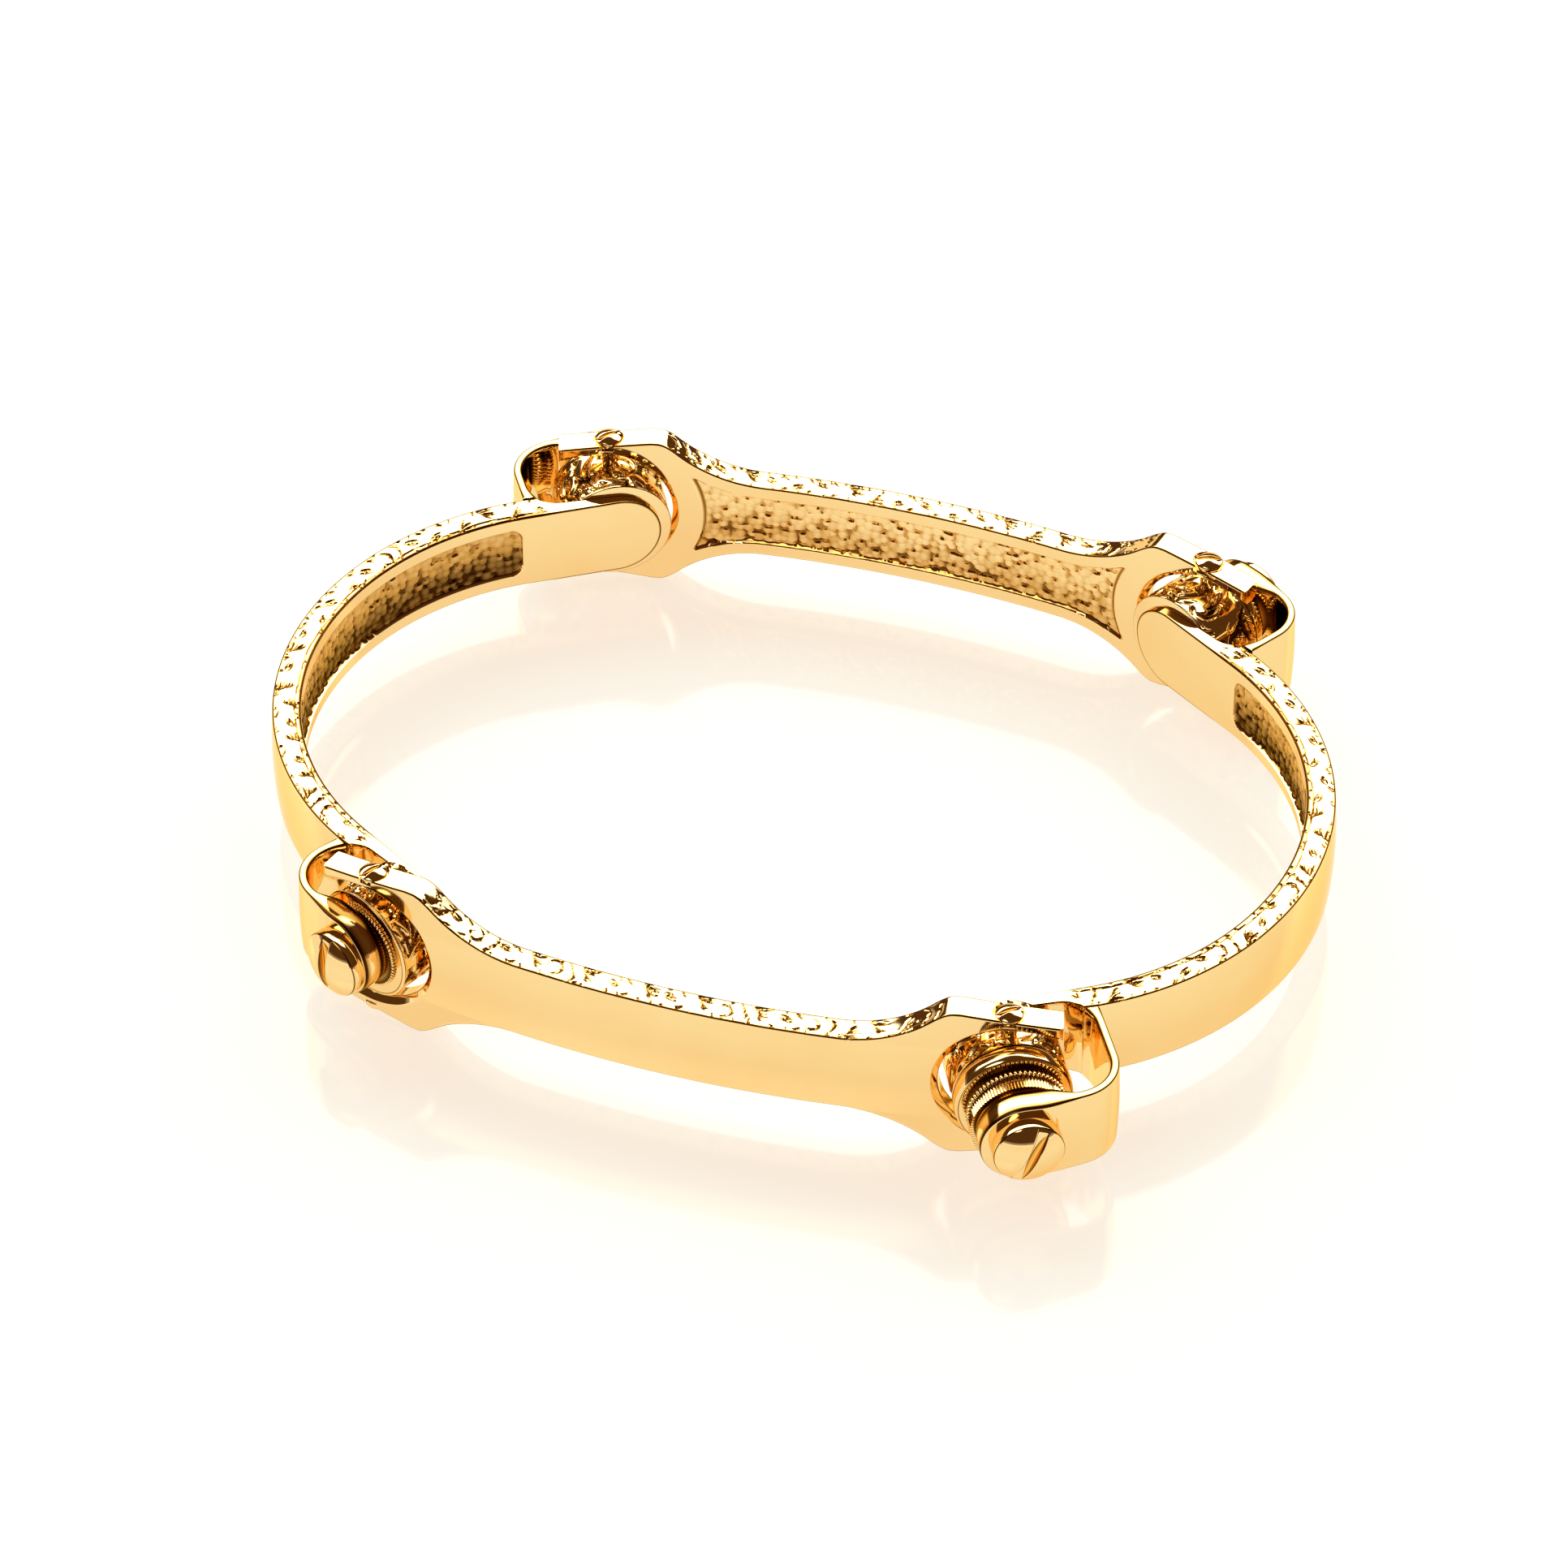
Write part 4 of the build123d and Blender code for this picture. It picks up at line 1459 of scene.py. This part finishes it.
@dataclass
class SlottedScrew:
    """A domed, slotted screw head with its shank."""

    origin: Array
    axis: Array
    slot_along: Array
    head_radius: float
    seat: float
    edge: float
    dome: float
    slot_width: float
    slot_depth: float
    shank: Sequence[tuple[float, float]]
    lip: float = 0.05
    thread_pitch: float = 0.0
    thread_depth: float = 0.055
    # strength of the painted dark lines of shade on the slot's lips and the head's rim
    line_shade: float = 0.9
    columns: int = 15

    @property
    def top(self) -> float:
        """Level of the middle of the head's dome."""
        return self.seat + self.edge + self.dome

    def place(self, across: Array, along: Array, level: Array) -> Array:
        """Turns places across and along the slot, and levels on the axis, into row directions."""
        across, along, level = np.broadcast_arrays(across, along, level)
        sideways = np.cross(self.axis, self.slot_along)
        flat = across[..., None] * sideways + along[..., None] * self.slot_along
        return self.origin + flat + level[..., None] * self.axis

    def slot_columns(self, inner: float) -> tuple[Array, Array]:
        """The columns of the head's top, across the slot.

        Args:
            inner: Radius of the top, inside its soft rim.

        Returns:
            Each column's place, and its kind: 0 on the dome, 1 at the slot's lip, 2 on its floor.
        """
        half = self.slot_width / 2
        first = math.asin((half + 1.6 * self.lip) / inner)
        side = inner * np.sin(np.linspace(first, math.pi / 2, self.columns))
        kinds = [(-x, 0) for x in side[::-1]] + [(-half - self.lip, 0), (-half, 1), (-half, 2)]
        kinds += [(x, 2) for x in np.linspace(-half, half, 5)[1:-1]]
        kinds += [(half, 2), (half, 1), (half + self.lip, 0)] + [(x, 0) for x in side]
        return np.array([place for place, _ in kinds]), np.array([which for _, which in kinds])

    def top_height(self, x: Array, y: Array, kind: Array) -> Array:
        """Level of the head's top at each sample; kind as slot_columns gives it, shape (columns, 1)."""
        ball = (self.head_radius**2 + self.dome**2) / (2 * self.dome)
        height = self.top - ball + np.sqrt(np.maximum(ball**2 - np.hypot(x[:, None], y) ** 2, 0))
        height = np.where(kind == 1, height - self.lip, height)
        return np.where(kind == 2, np.minimum(height, self.top - self.slot_depth), height)

    def rim_levels(self, inner: float, ring_top: Array) -> list[tuple[float, Array]]:
        """The head's side from its top to its seat.

        Args:
            inner: Radius of the top, inside its soft rim.
            ring_top: Level of the top round its edge.

        Returns:
            Radius and levels of each ring.
        """
        levels = [(inner, ring_top)]
        floor = self.top - self.slot_depth
        for share in (0.4, 0.75, 1.0):
            turn = share * math.pi / 2
            level = self.seat + self.edge - self.lip * (1 - math.cos(turn)) + 0.0 * ring_top
            lowest = ring_top if share < 1 else floor
            levels.append((inner + self.lip * math.sin(turn), np.minimum(level, lowest)))
        levels.append((self.head_radius, np.full(len(ring_top), self.seat + self.lip)))
        levels.append((self.head_radius - self.lip, np.full(len(ring_top), self.seat)))
        return levels

    def build(self, name: str) -> bpy.types.Object:
        """Makes the screw.

        Args:
            name: The piece's name.

        Returns:
            The screw's object.
        """
        inner = self.head_radius - self.lip
        x, kind = self.slot_columns(inner)
        rows = np.sin(np.linspace(math.pi / 2, -math.pi / 2, 2 * self.columns + 1))
        reach = np.sqrt(np.maximum(inner**2 - x**2, 0))
        y = reach[:, None] * rows
        height = self.top_height(x, y, kind[:, None])
        skin = Skin(name)
        # painted shade: the slot's lips are painted as dark lines
        skin.grid(self.place(x[:, None], y, height), self.line_shade * (kind == 1)[:, None])
        unit = np.stack([np.concatenate([x, x[::-1]]), np.concatenate([reach, -reach[::-1]])], -1) / inner
        ring_top = np.concatenate([height[:, 0], height[::-1, -1]])
        points = [self.place(unit[:, 0] * out, unit[:, 1] * out, level)
                  for out, level in self.rim_levels(inner, ring_top)]
        turn = np.arctan2(unit[:, 1], unit[:, 0]) / (2 * math.pi)
        for out, level in self.shank_rings():
            radius = out + (self.thread(level, turn) if self.threaded(level) else 0.0)
            points.append(self.place(unit[:, 0] * radius, unit[:, 1] * radius, np.full(len(turn), level)))
        # painted shade: dark lines on the rings round the head's soft rim
        line = np.zeros(len(points))
        line[1:3] = self.line_shade
        skin.grid(np.stack(points, 1), line[None, :], wrap=(True, False))
        skin.fan(points[-1], self.origin + self.shank[-1][1] * self.axis)
        return skin.build()

    def thread(self, level: float, turn: Array) -> Array:
        """How far the thread stands out at one level, round the shank."""
        return self.thread_depth * (np.abs(((level / self.thread_pitch + turn) % 1) * 2 - 1) - 0.5)

    def threaded(self, level: float) -> bool:
        """Whether the thread covers a level of the shank."""
        start, end = self.shank[-2][1], self.shank[-1][1]
        return bool(self.thread_pitch) and min(start, end) <= level <= max(start, end)

    def shank_rings(self) -> list[tuple[float, float]]:
        """The shank's rings, radius and level, from the head's seat to the tip."""
        rings: list[tuple[float, float]] = [(self.shank[0][0], self.seat)]
        for (radius, start), (_, end) in zip(self.shank[:-1], self.shank[1:]):
            fine = self.threaded((start + end) / 2)
            count = max(2, int(abs(end - start) / 0.03)) if fine else 6
            rings += [(radius, float(level)) for level in np.linspace(start, end, count)]
        return rings


# ------------------------------------------------------------------ finishes

Number = Union[float, "Value"]


class Value:
    """A number that varies over a surface; arithmetic on it adds Math nodes."""

    def __init__(self, graph: "Graph", socket: bpy.types.NodeSocket) -> None:
        """Wraps a socket.

        Args:
            graph: The graph the socket belongs to.
            socket: An output that carries a number.
        """
        self.graph = graph
        self.socket = socket

    def __add__(self, other: Number) -> "Value":
        """self + other."""
        return self.graph.math("ADD", self, other)

    def __radd__(self, other: Number) -> "Value":
        """other + self."""
        return self.graph.math("ADD", other, self)

    def __sub__(self, other: Number) -> "Value":
        """self - other."""
        return self.graph.math("SUBTRACT", self, other)

    def __rsub__(self, other: Number) -> "Value":
        """other - self."""
        return self.graph.math("SUBTRACT", other, self)

    def __mul__(self, other: Number) -> "Value":
        """self * other."""
        return self.graph.math("MULTIPLY", self, other)

    def __rmul__(self, other: Number) -> "Value":
        """other * self."""
        return self.graph.math("MULTIPLY", other, self)

    def step(self, low: float, high: float) -> "Value":
        """A smooth rise from 0 at low to 1 at high."""
        node = self.graph.node("ShaderNodeMapRange", {"interpolation_type": "SMOOTHSTEP"},
                               {"Value": self, "From Min": low, "From Max": high})
        return Value(self.graph, node.outputs["Result"])


class Graph:
    """Builds a node tree."""

    def __init__(self, tree: bpy.types.NodeTree) -> None:
        """Empties a tree and takes it over.

        Args:
            tree: The tree.
        """
        self.tree = tree
        tree.nodes.clear()

    def node(self, kind: str, settings: Optional[dict] = None,
             inputs: Optional[dict] = None) -> bpy.types.Node:
        """Adds a node.

        Args:
            kind: The node's type.
            settings: Properties, set before the inputs.
            inputs: Values or links by socket name or number.

        Returns:
            The node.
        """
        made = self.tree.nodes.new(kind)
        for name, value in (settings or {}).items():
            setattr(made, name, value)
        for name, value in (inputs or {}).items():
            self.feed(made.inputs[name], value)
        return made

    def feed(self, socket: bpy.types.NodeSocket, value: object) -> None:
        """Sets a socket to a value, or links it.

        Args:
            socket: The input.
            value: A number, a colour, a socket or a Value.
        """
        if isinstance(value, Value):
            self.tree.links.new(value.socket, socket)
        elif isinstance(value, bpy.types.NodeSocket):
            self.tree.links.new(value, socket)
        else:
            socket.default_value = value

    def math(self, operation: str, *values: Number) -> Value:
        """Adds a Math node."""
        node = self.node("ShaderNodeMath", {"operation": operation}, dict(enumerate(values)))
        return Value(self, node.outputs[0])

    def mix(self, factor: Value, first: object, second: object) -> bpy.types.NodeSocket:
        """Mixes two colours.

        Args:
            factor: Share of the second.
            first: A colour or a socket.
            second: A colour or a socket.

        Returns:
            The mixed colour.
        """
        node = self.node("ShaderNodeMix", {"data_type": "RGBA"}, {"Factor": factor})
        self.feed(node.inputs[6], first)
        self.feed(node.inputs[7], second)
        return node.outputs[2]

    def noise(self, scale: float, detail: float, place: bpy.types.NodeSocket,
              stretch: Sequence[float] = (1, 1, 1)) -> Value:
        """Noise over the object's own space.

        Args:
            scale: Waves in a metre.
            detail: Octaves.
            place: Coordinates.
            stretch: Scale along each axis.

        Returns:
            The noise, about 0 to 1.
        """
        if tuple(stretch) != (1, 1, 1):
            mapped = self.node("ShaderNodeMapping", {}, {"Vector": place, "Scale": stretch})
            place = mapped.outputs["Vector"]
        made = self.node("ShaderNodeTexNoise", {}, {"Vector": place, "Scale": scale, "Detail": detail})
        return Value(self, made.outputs["Fac"])


def new_material(name: str) -> tuple[bpy.types.Material, Graph, bpy.types.NodeSocket]:
    """Starts a material.

    Args:
        name: The material's name.

    Returns:
        The material, the graph of its empty tree, and a socket with the object's own coordinates.
    """
    material = bpy.data.materials.new(name)
    material.use_nodes = True
    graph = Graph(material.node_tree)
    return material, graph, graph.node("ShaderNodeTexCoord").outputs["Object"]


@dataclass(frozen=True)
class GoldFinish:
    """Yellow gold, polished on its high places and dull brown as patina in its cuts; the same brown and an
    amber half tone also paint shade where the cut attribute carries it: dark edge lines, shaded panels and
    grooves.
    """

    name: str
    colour: tuple[float, float, float] = (1.0, 0.76, 0.37)
    deep_colour: tuple[float, float, float] = (0.055, 0.0165, 0.0022)
    worn_colour: tuple[float, float, float] = (0.66, 0.36, 0.085)
    edge_tint: tuple[float, float, float] = (1.0, 0.78, 0.48)
    roughness: float = 0.055
    cut_roughness: float = 0.22
    scratch: float = 0.035
    tint: float = 0.04
    ripple: float = 0.012
    cloud_scale: float = 90.0
    grain_scale: float = 2600.0
    ripple_scale: float = 330.0

    def build(self) -> bpy.types.Material:
        """Makes the material.

        Returns:
            The material.
        """
        material, graph, place = new_material(self.name)
        cut = Value(graph, graph.node("ShaderNodeAttribute", {"attribute_name": "cut"}).outputs["Fac"])
        cloud = graph.noise(self.cloud_scale, 3.0, place)
        grain = graph.noise(self.grain_scale, 4.0, place, (1, 1, 0.12))
        # high cut values paint dark brown, middle ones amber: patina in real cuts, painted shade on edges,
        # panels and grooves
        patina_and_shade, half_patina_and_shade = cut.step(0.55, 0.95), cut.step(0.24, 0.64)
        warmer = tuple(part * (1 - self.tint * weight) for part, weight in zip(self.colour, (0.5, 2.0, 4.0)))
        toned = graph.mix(cloud.step(0.35, 0.75), (*self.colour, 1.0), (*warmer, 1.0))
        half_patina_and_shade_mix = graph.mix(half_patina_and_shade, toned, (*self.worn_colour, 1.0))
        colour = graph.mix(patina_and_shade, half_patina_and_shade_mix, (*self.deep_colour, 1.0))
        rough = self.roughness + patina_and_shade * self.cut_roughness + grain.step(0.55, 0.8) * self.scratch
        bump = graph.node("ShaderNodeBump", {}, {"Height": graph.noise(self.ripple_scale, 2.0, place)})
        bump.inputs["Strength"].default_value = self.ripple
        bump.inputs["Distance"].default_value = MM
        shader = graph.node("ShaderNodeBsdfPrincipled", {}, {
            "Base Color": colour, "Roughness": rough, "Normal": bump.outputs["Normal"],
            "Metallic": 1.0, "Specular Tint": (*self.edge_tint, 1.0)})
        graph.node("ShaderNodeOutputMaterial", {}, {"Surface": shader.outputs[0]})
        return material


@dataclass(frozen=True)
class TableFinish:
    """The pale, faintly glossy surface that the bangle lies on."""

    name: str = "pale_table"
    colour: tuple[float, float, float] = (0.06, 0.20, 0.25)
    roughness: float = 0.06
    haze: float = 0.06
    haze_scale: float = 14.0
    glow_colour: tuple[float, float, float] = (1.0, 0.82, 0.675)
    backlight: float = 0.92

    def build(self) -> bpy.types.Material:
        """Makes the material.

        Returns:
            The material.
        """
        material, graph, place = new_material(self.name)
        rough = self.roughness + graph.noise(self.haze_scale, 2.0, place) * self.haze
        shader = graph.node("ShaderNodeBsdfPrincipled", {}, {
            "Base Color": (*self.colour, 1.0), "Roughness": rough, "Specular IOR Level": 0.3,
            "Emission Color": (*self.glow_colour, 1.0), "Emission Strength": self.backlight})
        graph.node("ShaderNodeOutputMaterial", {}, {"Surface": shader.outputs[0]})
        return material


# ------------------------------------------------------------------ table, light and camera


@dataclass
class Studio:
    """A pale table, a room of soft light, and the camera."""

    azimuth: float = 18.01
    elevation: float = 41.67
    distance: float = 476.2
    target: tuple[float, float, float] = (-0.748, -1.0035, 5.65)
    lens: float = 176.4
    sensor: float = 36.0
    table_half: float = 1500.0
    panel_light: float = 4.2
    window_light: float = 3.0
    horizon_light: float = 0.3
    lamp_colour: tuple[float, float, float] = (1.0, 0.985, 0.96)
    wall_colour: tuple[float, float, float] = (0.085, 0.036, 0.010)
    panel_near: tuple[float, float] = (0.22, 0.36)
    panel_foot: tuple[float, float] = (0.36, 0.46)
    panel_top: tuple[float, float] = (0.86, 0.92)
    window_near: tuple[float, float] = (0.10, 0.20)
    window_foot: tuple[float, float] = (0.70, 0.78)
    window_top: tuple[float, float] = (0.90, 0.95)
    horizon_top: tuple[float, float] = (0.02, 0.10)

    def build(self) -> None:
        """Makes the table, the light and the camera."""
        self.make_table()
        self.make_light()
        self.make_camera()

    def make_table(self) -> None:
        """Makes the table top, just under the bangle."""
        half = self.table_half * MM
        mesh = bpy.data.meshes.new("table")
        corners = [(-half, -half, 0), (half, -half, 0), (half, half, 0), (-half, half, 0)]
        mesh.from_pydata(corners, [], [(0, 1, 2, 3)])
        mesh.materials.append(TableFinish().build())
        stand("table", mesh)

    def make_light(self) -> None:
        """Makes the room: a bright rear and ceiling, a darker front above a bright horizon."""
        world = bpy.data.worlds.new("studio_room")
        bpy.context.scene.world = world
        world.use_nodes = True
        graph = Graph(world.node_tree)
        direction = graph.node("ShaderNodeTexCoord").outputs["Generated"]
        parts = graph.node("ShaderNodeSeparateXYZ", {}, {"Vector": direction})
        side, back, up = (Value(graph, parts.outputs[k]) for k in range(3))
        azimuth = math.radians(self.azimuth)
        rear = back * math.cos(azimuth) - side * math.sin(azimuth)
        sideways = side * math.cos(azimuth) + back * math.sin(azimuth)
        panel = rear.step(*self.panel_near) * up.step(*self.panel_foot) * (1 - up.step(*self.panel_top))
        window = (0 - rear).step(*self.window_near) * (0 - sideways).step(*self.window_near)
        window = window * up.step(*self.window_foot) * (1 - up.step(*self.window_top))
        horizon = (1 - up.step(*self.horizon_top)) * self.horizon_light
        glow = panel * self.panel_light + window * self.window_light + horizon
        shade = graph.node("ShaderNodeBackground", {}, {"Color": (*self.wall_colour, 1.0), "Strength": 1.0})
        light = graph.node("ShaderNodeBackground", {}, {"Color": (*self.lamp_colour, 1.0), "Strength": glow})
        both = graph.node("ShaderNodeAddShader", {}, {0: shade.outputs[0], 1: light.outputs[0]})
        graph.node("ShaderNodeOutputWorld", {}, {"Surface": both.outputs[0]})
        bpy.context.scene.view_settings.view_transform = "Standard"

    def make_camera(self) -> None:
        """Makes the camera and looks through it."""
        azimuth, elevation = math.radians(self.azimuth), math.radians(self.elevation)
        back = Vector((math.sin(azimuth) * math.cos(elevation), -math.cos(azimuth) * math.cos(elevation),
                       math.sin(elevation)))
        data = bpy.data.cameras.new("camera")
        data.lens, data.sensor_width = self.lens, self.sensor
        camera = stand("camera", data)
        camera.location = (Vector(self.target) + Vector(CENTRE) + back * self.distance) * MM
        camera.rotation_euler = back.to_track_quat("Z", "Y").to_euler()
        bpy.context.scene.camera = camera


# ------------------------------------------------------------------ assembly


class Workshop:
    """Makes each piece, dresses it and hangs it on its body."""

    MAIN_SLOTS = {Corner.FRONT_LEFT: 4, Corner.FRONT_RIGHT: -24, Corner.REAR_LEFT: 38, Corner.REAR_RIGHT: -52}
    PIVOT_SLOTS = {Corner.FRONT_LEFT: 55, Corner.FRONT_RIGHT: 40, Corner.REAR_LEFT: 48, Corner.REAR_RIGHT: 12}
    MAIN_HEAD = dict(head_radius=2.15, edge=0.85, dome=0.8, slot_width=0.6, slot_depth=0.6, lip=0.07,
                     thread_pitch=0.18)
    PIVOT_HEAD = dict(head_radius=0.85, edge=0.4, dome=0.28, slot_width=0.26, slot_depth=0.3, lip=0.04,
                      columns=9)
    PIVOT_SEAT = 4.9

    def __init__(self) -> None:
        """Makes the finishes."""
        self.finishes = {
            "polished_gold": GoldFinish("polished_gold").build(),
            "engraved_gold": GoldFinish("engraved_gold", roughness=0.09, cut_roughness=0.25).build(),
            "screw_gold": GoldFinish("screw_gold", roughness=0.05, tint=0.03).build(),
        }

    def fit(self, piece: bpy.types.Object, body: str, node: str, slot: str) -> None:
        """Dresses a piece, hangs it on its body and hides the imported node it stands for.

        Args:
            piece: The piece.
            body: The body it moves with.
            node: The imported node.
            slot: The record's material slot.
        """
        piece.data.materials.append(self.finishes[slot])
        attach(piece, body)
        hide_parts(node)

    def make_bars(self) -> None:
        """Makes the front and the rear bar."""
        for side, which, seed in ((-1, "front", 11), (1, "rear", 23)):
            bar = Bar(side, seed).build(f"{which}_bar_forged")
            self.fit(bar, f"{which}_link", f"{which}_bar", "polished_gold")

    def make_bands(self) -> Band:
        """Makes the left and the right band.

        Returns:
            The last band, whose sizes the loops share.
        """
        for hand, which, seed in ((-1, "left", 41), (1, "right", 59)):
            band = Band(hand, seed)
            self.fit(band.build(f"{which}_band_forged"), f"{which}_link", f"{which}_band", "polished_gold")
        return band

    def make_corner(self, corner: Corner, band: Band, seed: int) -> None:
        """Makes a corner's loop, barrel, collar and screws.

        Args:
            corner: Which corner.
            band: A band, for the sizes it shares with the loops.
            seed: Makes this corner's chasing its own.
        """
        place, name = CornerFrame(corner), corner.label
        loop = Loop(place, band.root_level, band.half).build(f"{name}_strap")
        self.fit(loop, corner.band_body, f"{name}_loop", "polished_gold")
        barrel = Barrel(place, seed).build(f"{name}_chased_barrel")
        self.fit(barrel, corner.band_body, f"{name}_barrel", "engraved_gold")
        collar = Collar(place).build(f"{name}_beaded_collar")
        self.fit(collar, corner.band_body, f"{name}_milled_collar", "engraved_gold")
        main = self.main_screw(place).build(f"{name}_slotted_screw")
        self.fit(main, f"{name}_screw", f"{name}_main_screw", "screw_gold")
        for end, which in ((1, "upper"), (-1, "lower")):
            screw = self.pivot_screw(place, end).build(f"{name}_{which}_slotted_pivot")
            self.fit(screw, corner.bar_body, f"{name}_{which}_pivot_screw", "screw_gold")

    def main_screw(self, place: CornerFrame) -> SlottedScrew:
        """The large screw through a corner's boss and barrel."""
        turn = math.radians(self.MAIN_SLOTS[place.corner])
        sideways = place.along
        upright = np.cross(place.out, sideways)
        slot = upright * math.cos(turn) - sideways * math.sin(turn)
        seat = place.levels.boss_outer
        shank = [(1.1, seat), (1.1, -3.0), (0.9, -3.0), (0.9, -3.4)]
        return SlottedScrew(place.pivot, place.out, slot, seat=seat, shank=shank, **self.MAIN_HEAD)

    def pivot_screw(self, place: CornerFrame, end: int) -> SlottedScrew:
        """The small screw through an arm of a fork, upper or lower."""
        turn = math.radians(self.PIVOT_SLOTS[place.corner])
        slot = np.array((math.cos(turn), end * math.sin(turn), 0.0))
        shank = [(0.5, self.PIVOT_SEAT), (0.5, 1.8)]
        return SlottedScrew(place.pivot, place.up * end, slot, seat=self.PIVOT_SEAT, shank=shank,
                            **self.PIVOT_HEAD)


def main() -> None:
    """Builds the bangle, its table, light and camera."""
    logging.basicConfig(level=logging.INFO, format="%(name)s %(message)s")
    shop = Workshop()
    shop.make_bars()
    band = shop.make_bands()
    for seed, corner in enumerate(Corner, 71):
        shop.make_corner(corner, band, seed)
    Studio().build()
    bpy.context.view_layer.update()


if __name__ == "__main__":
    main()
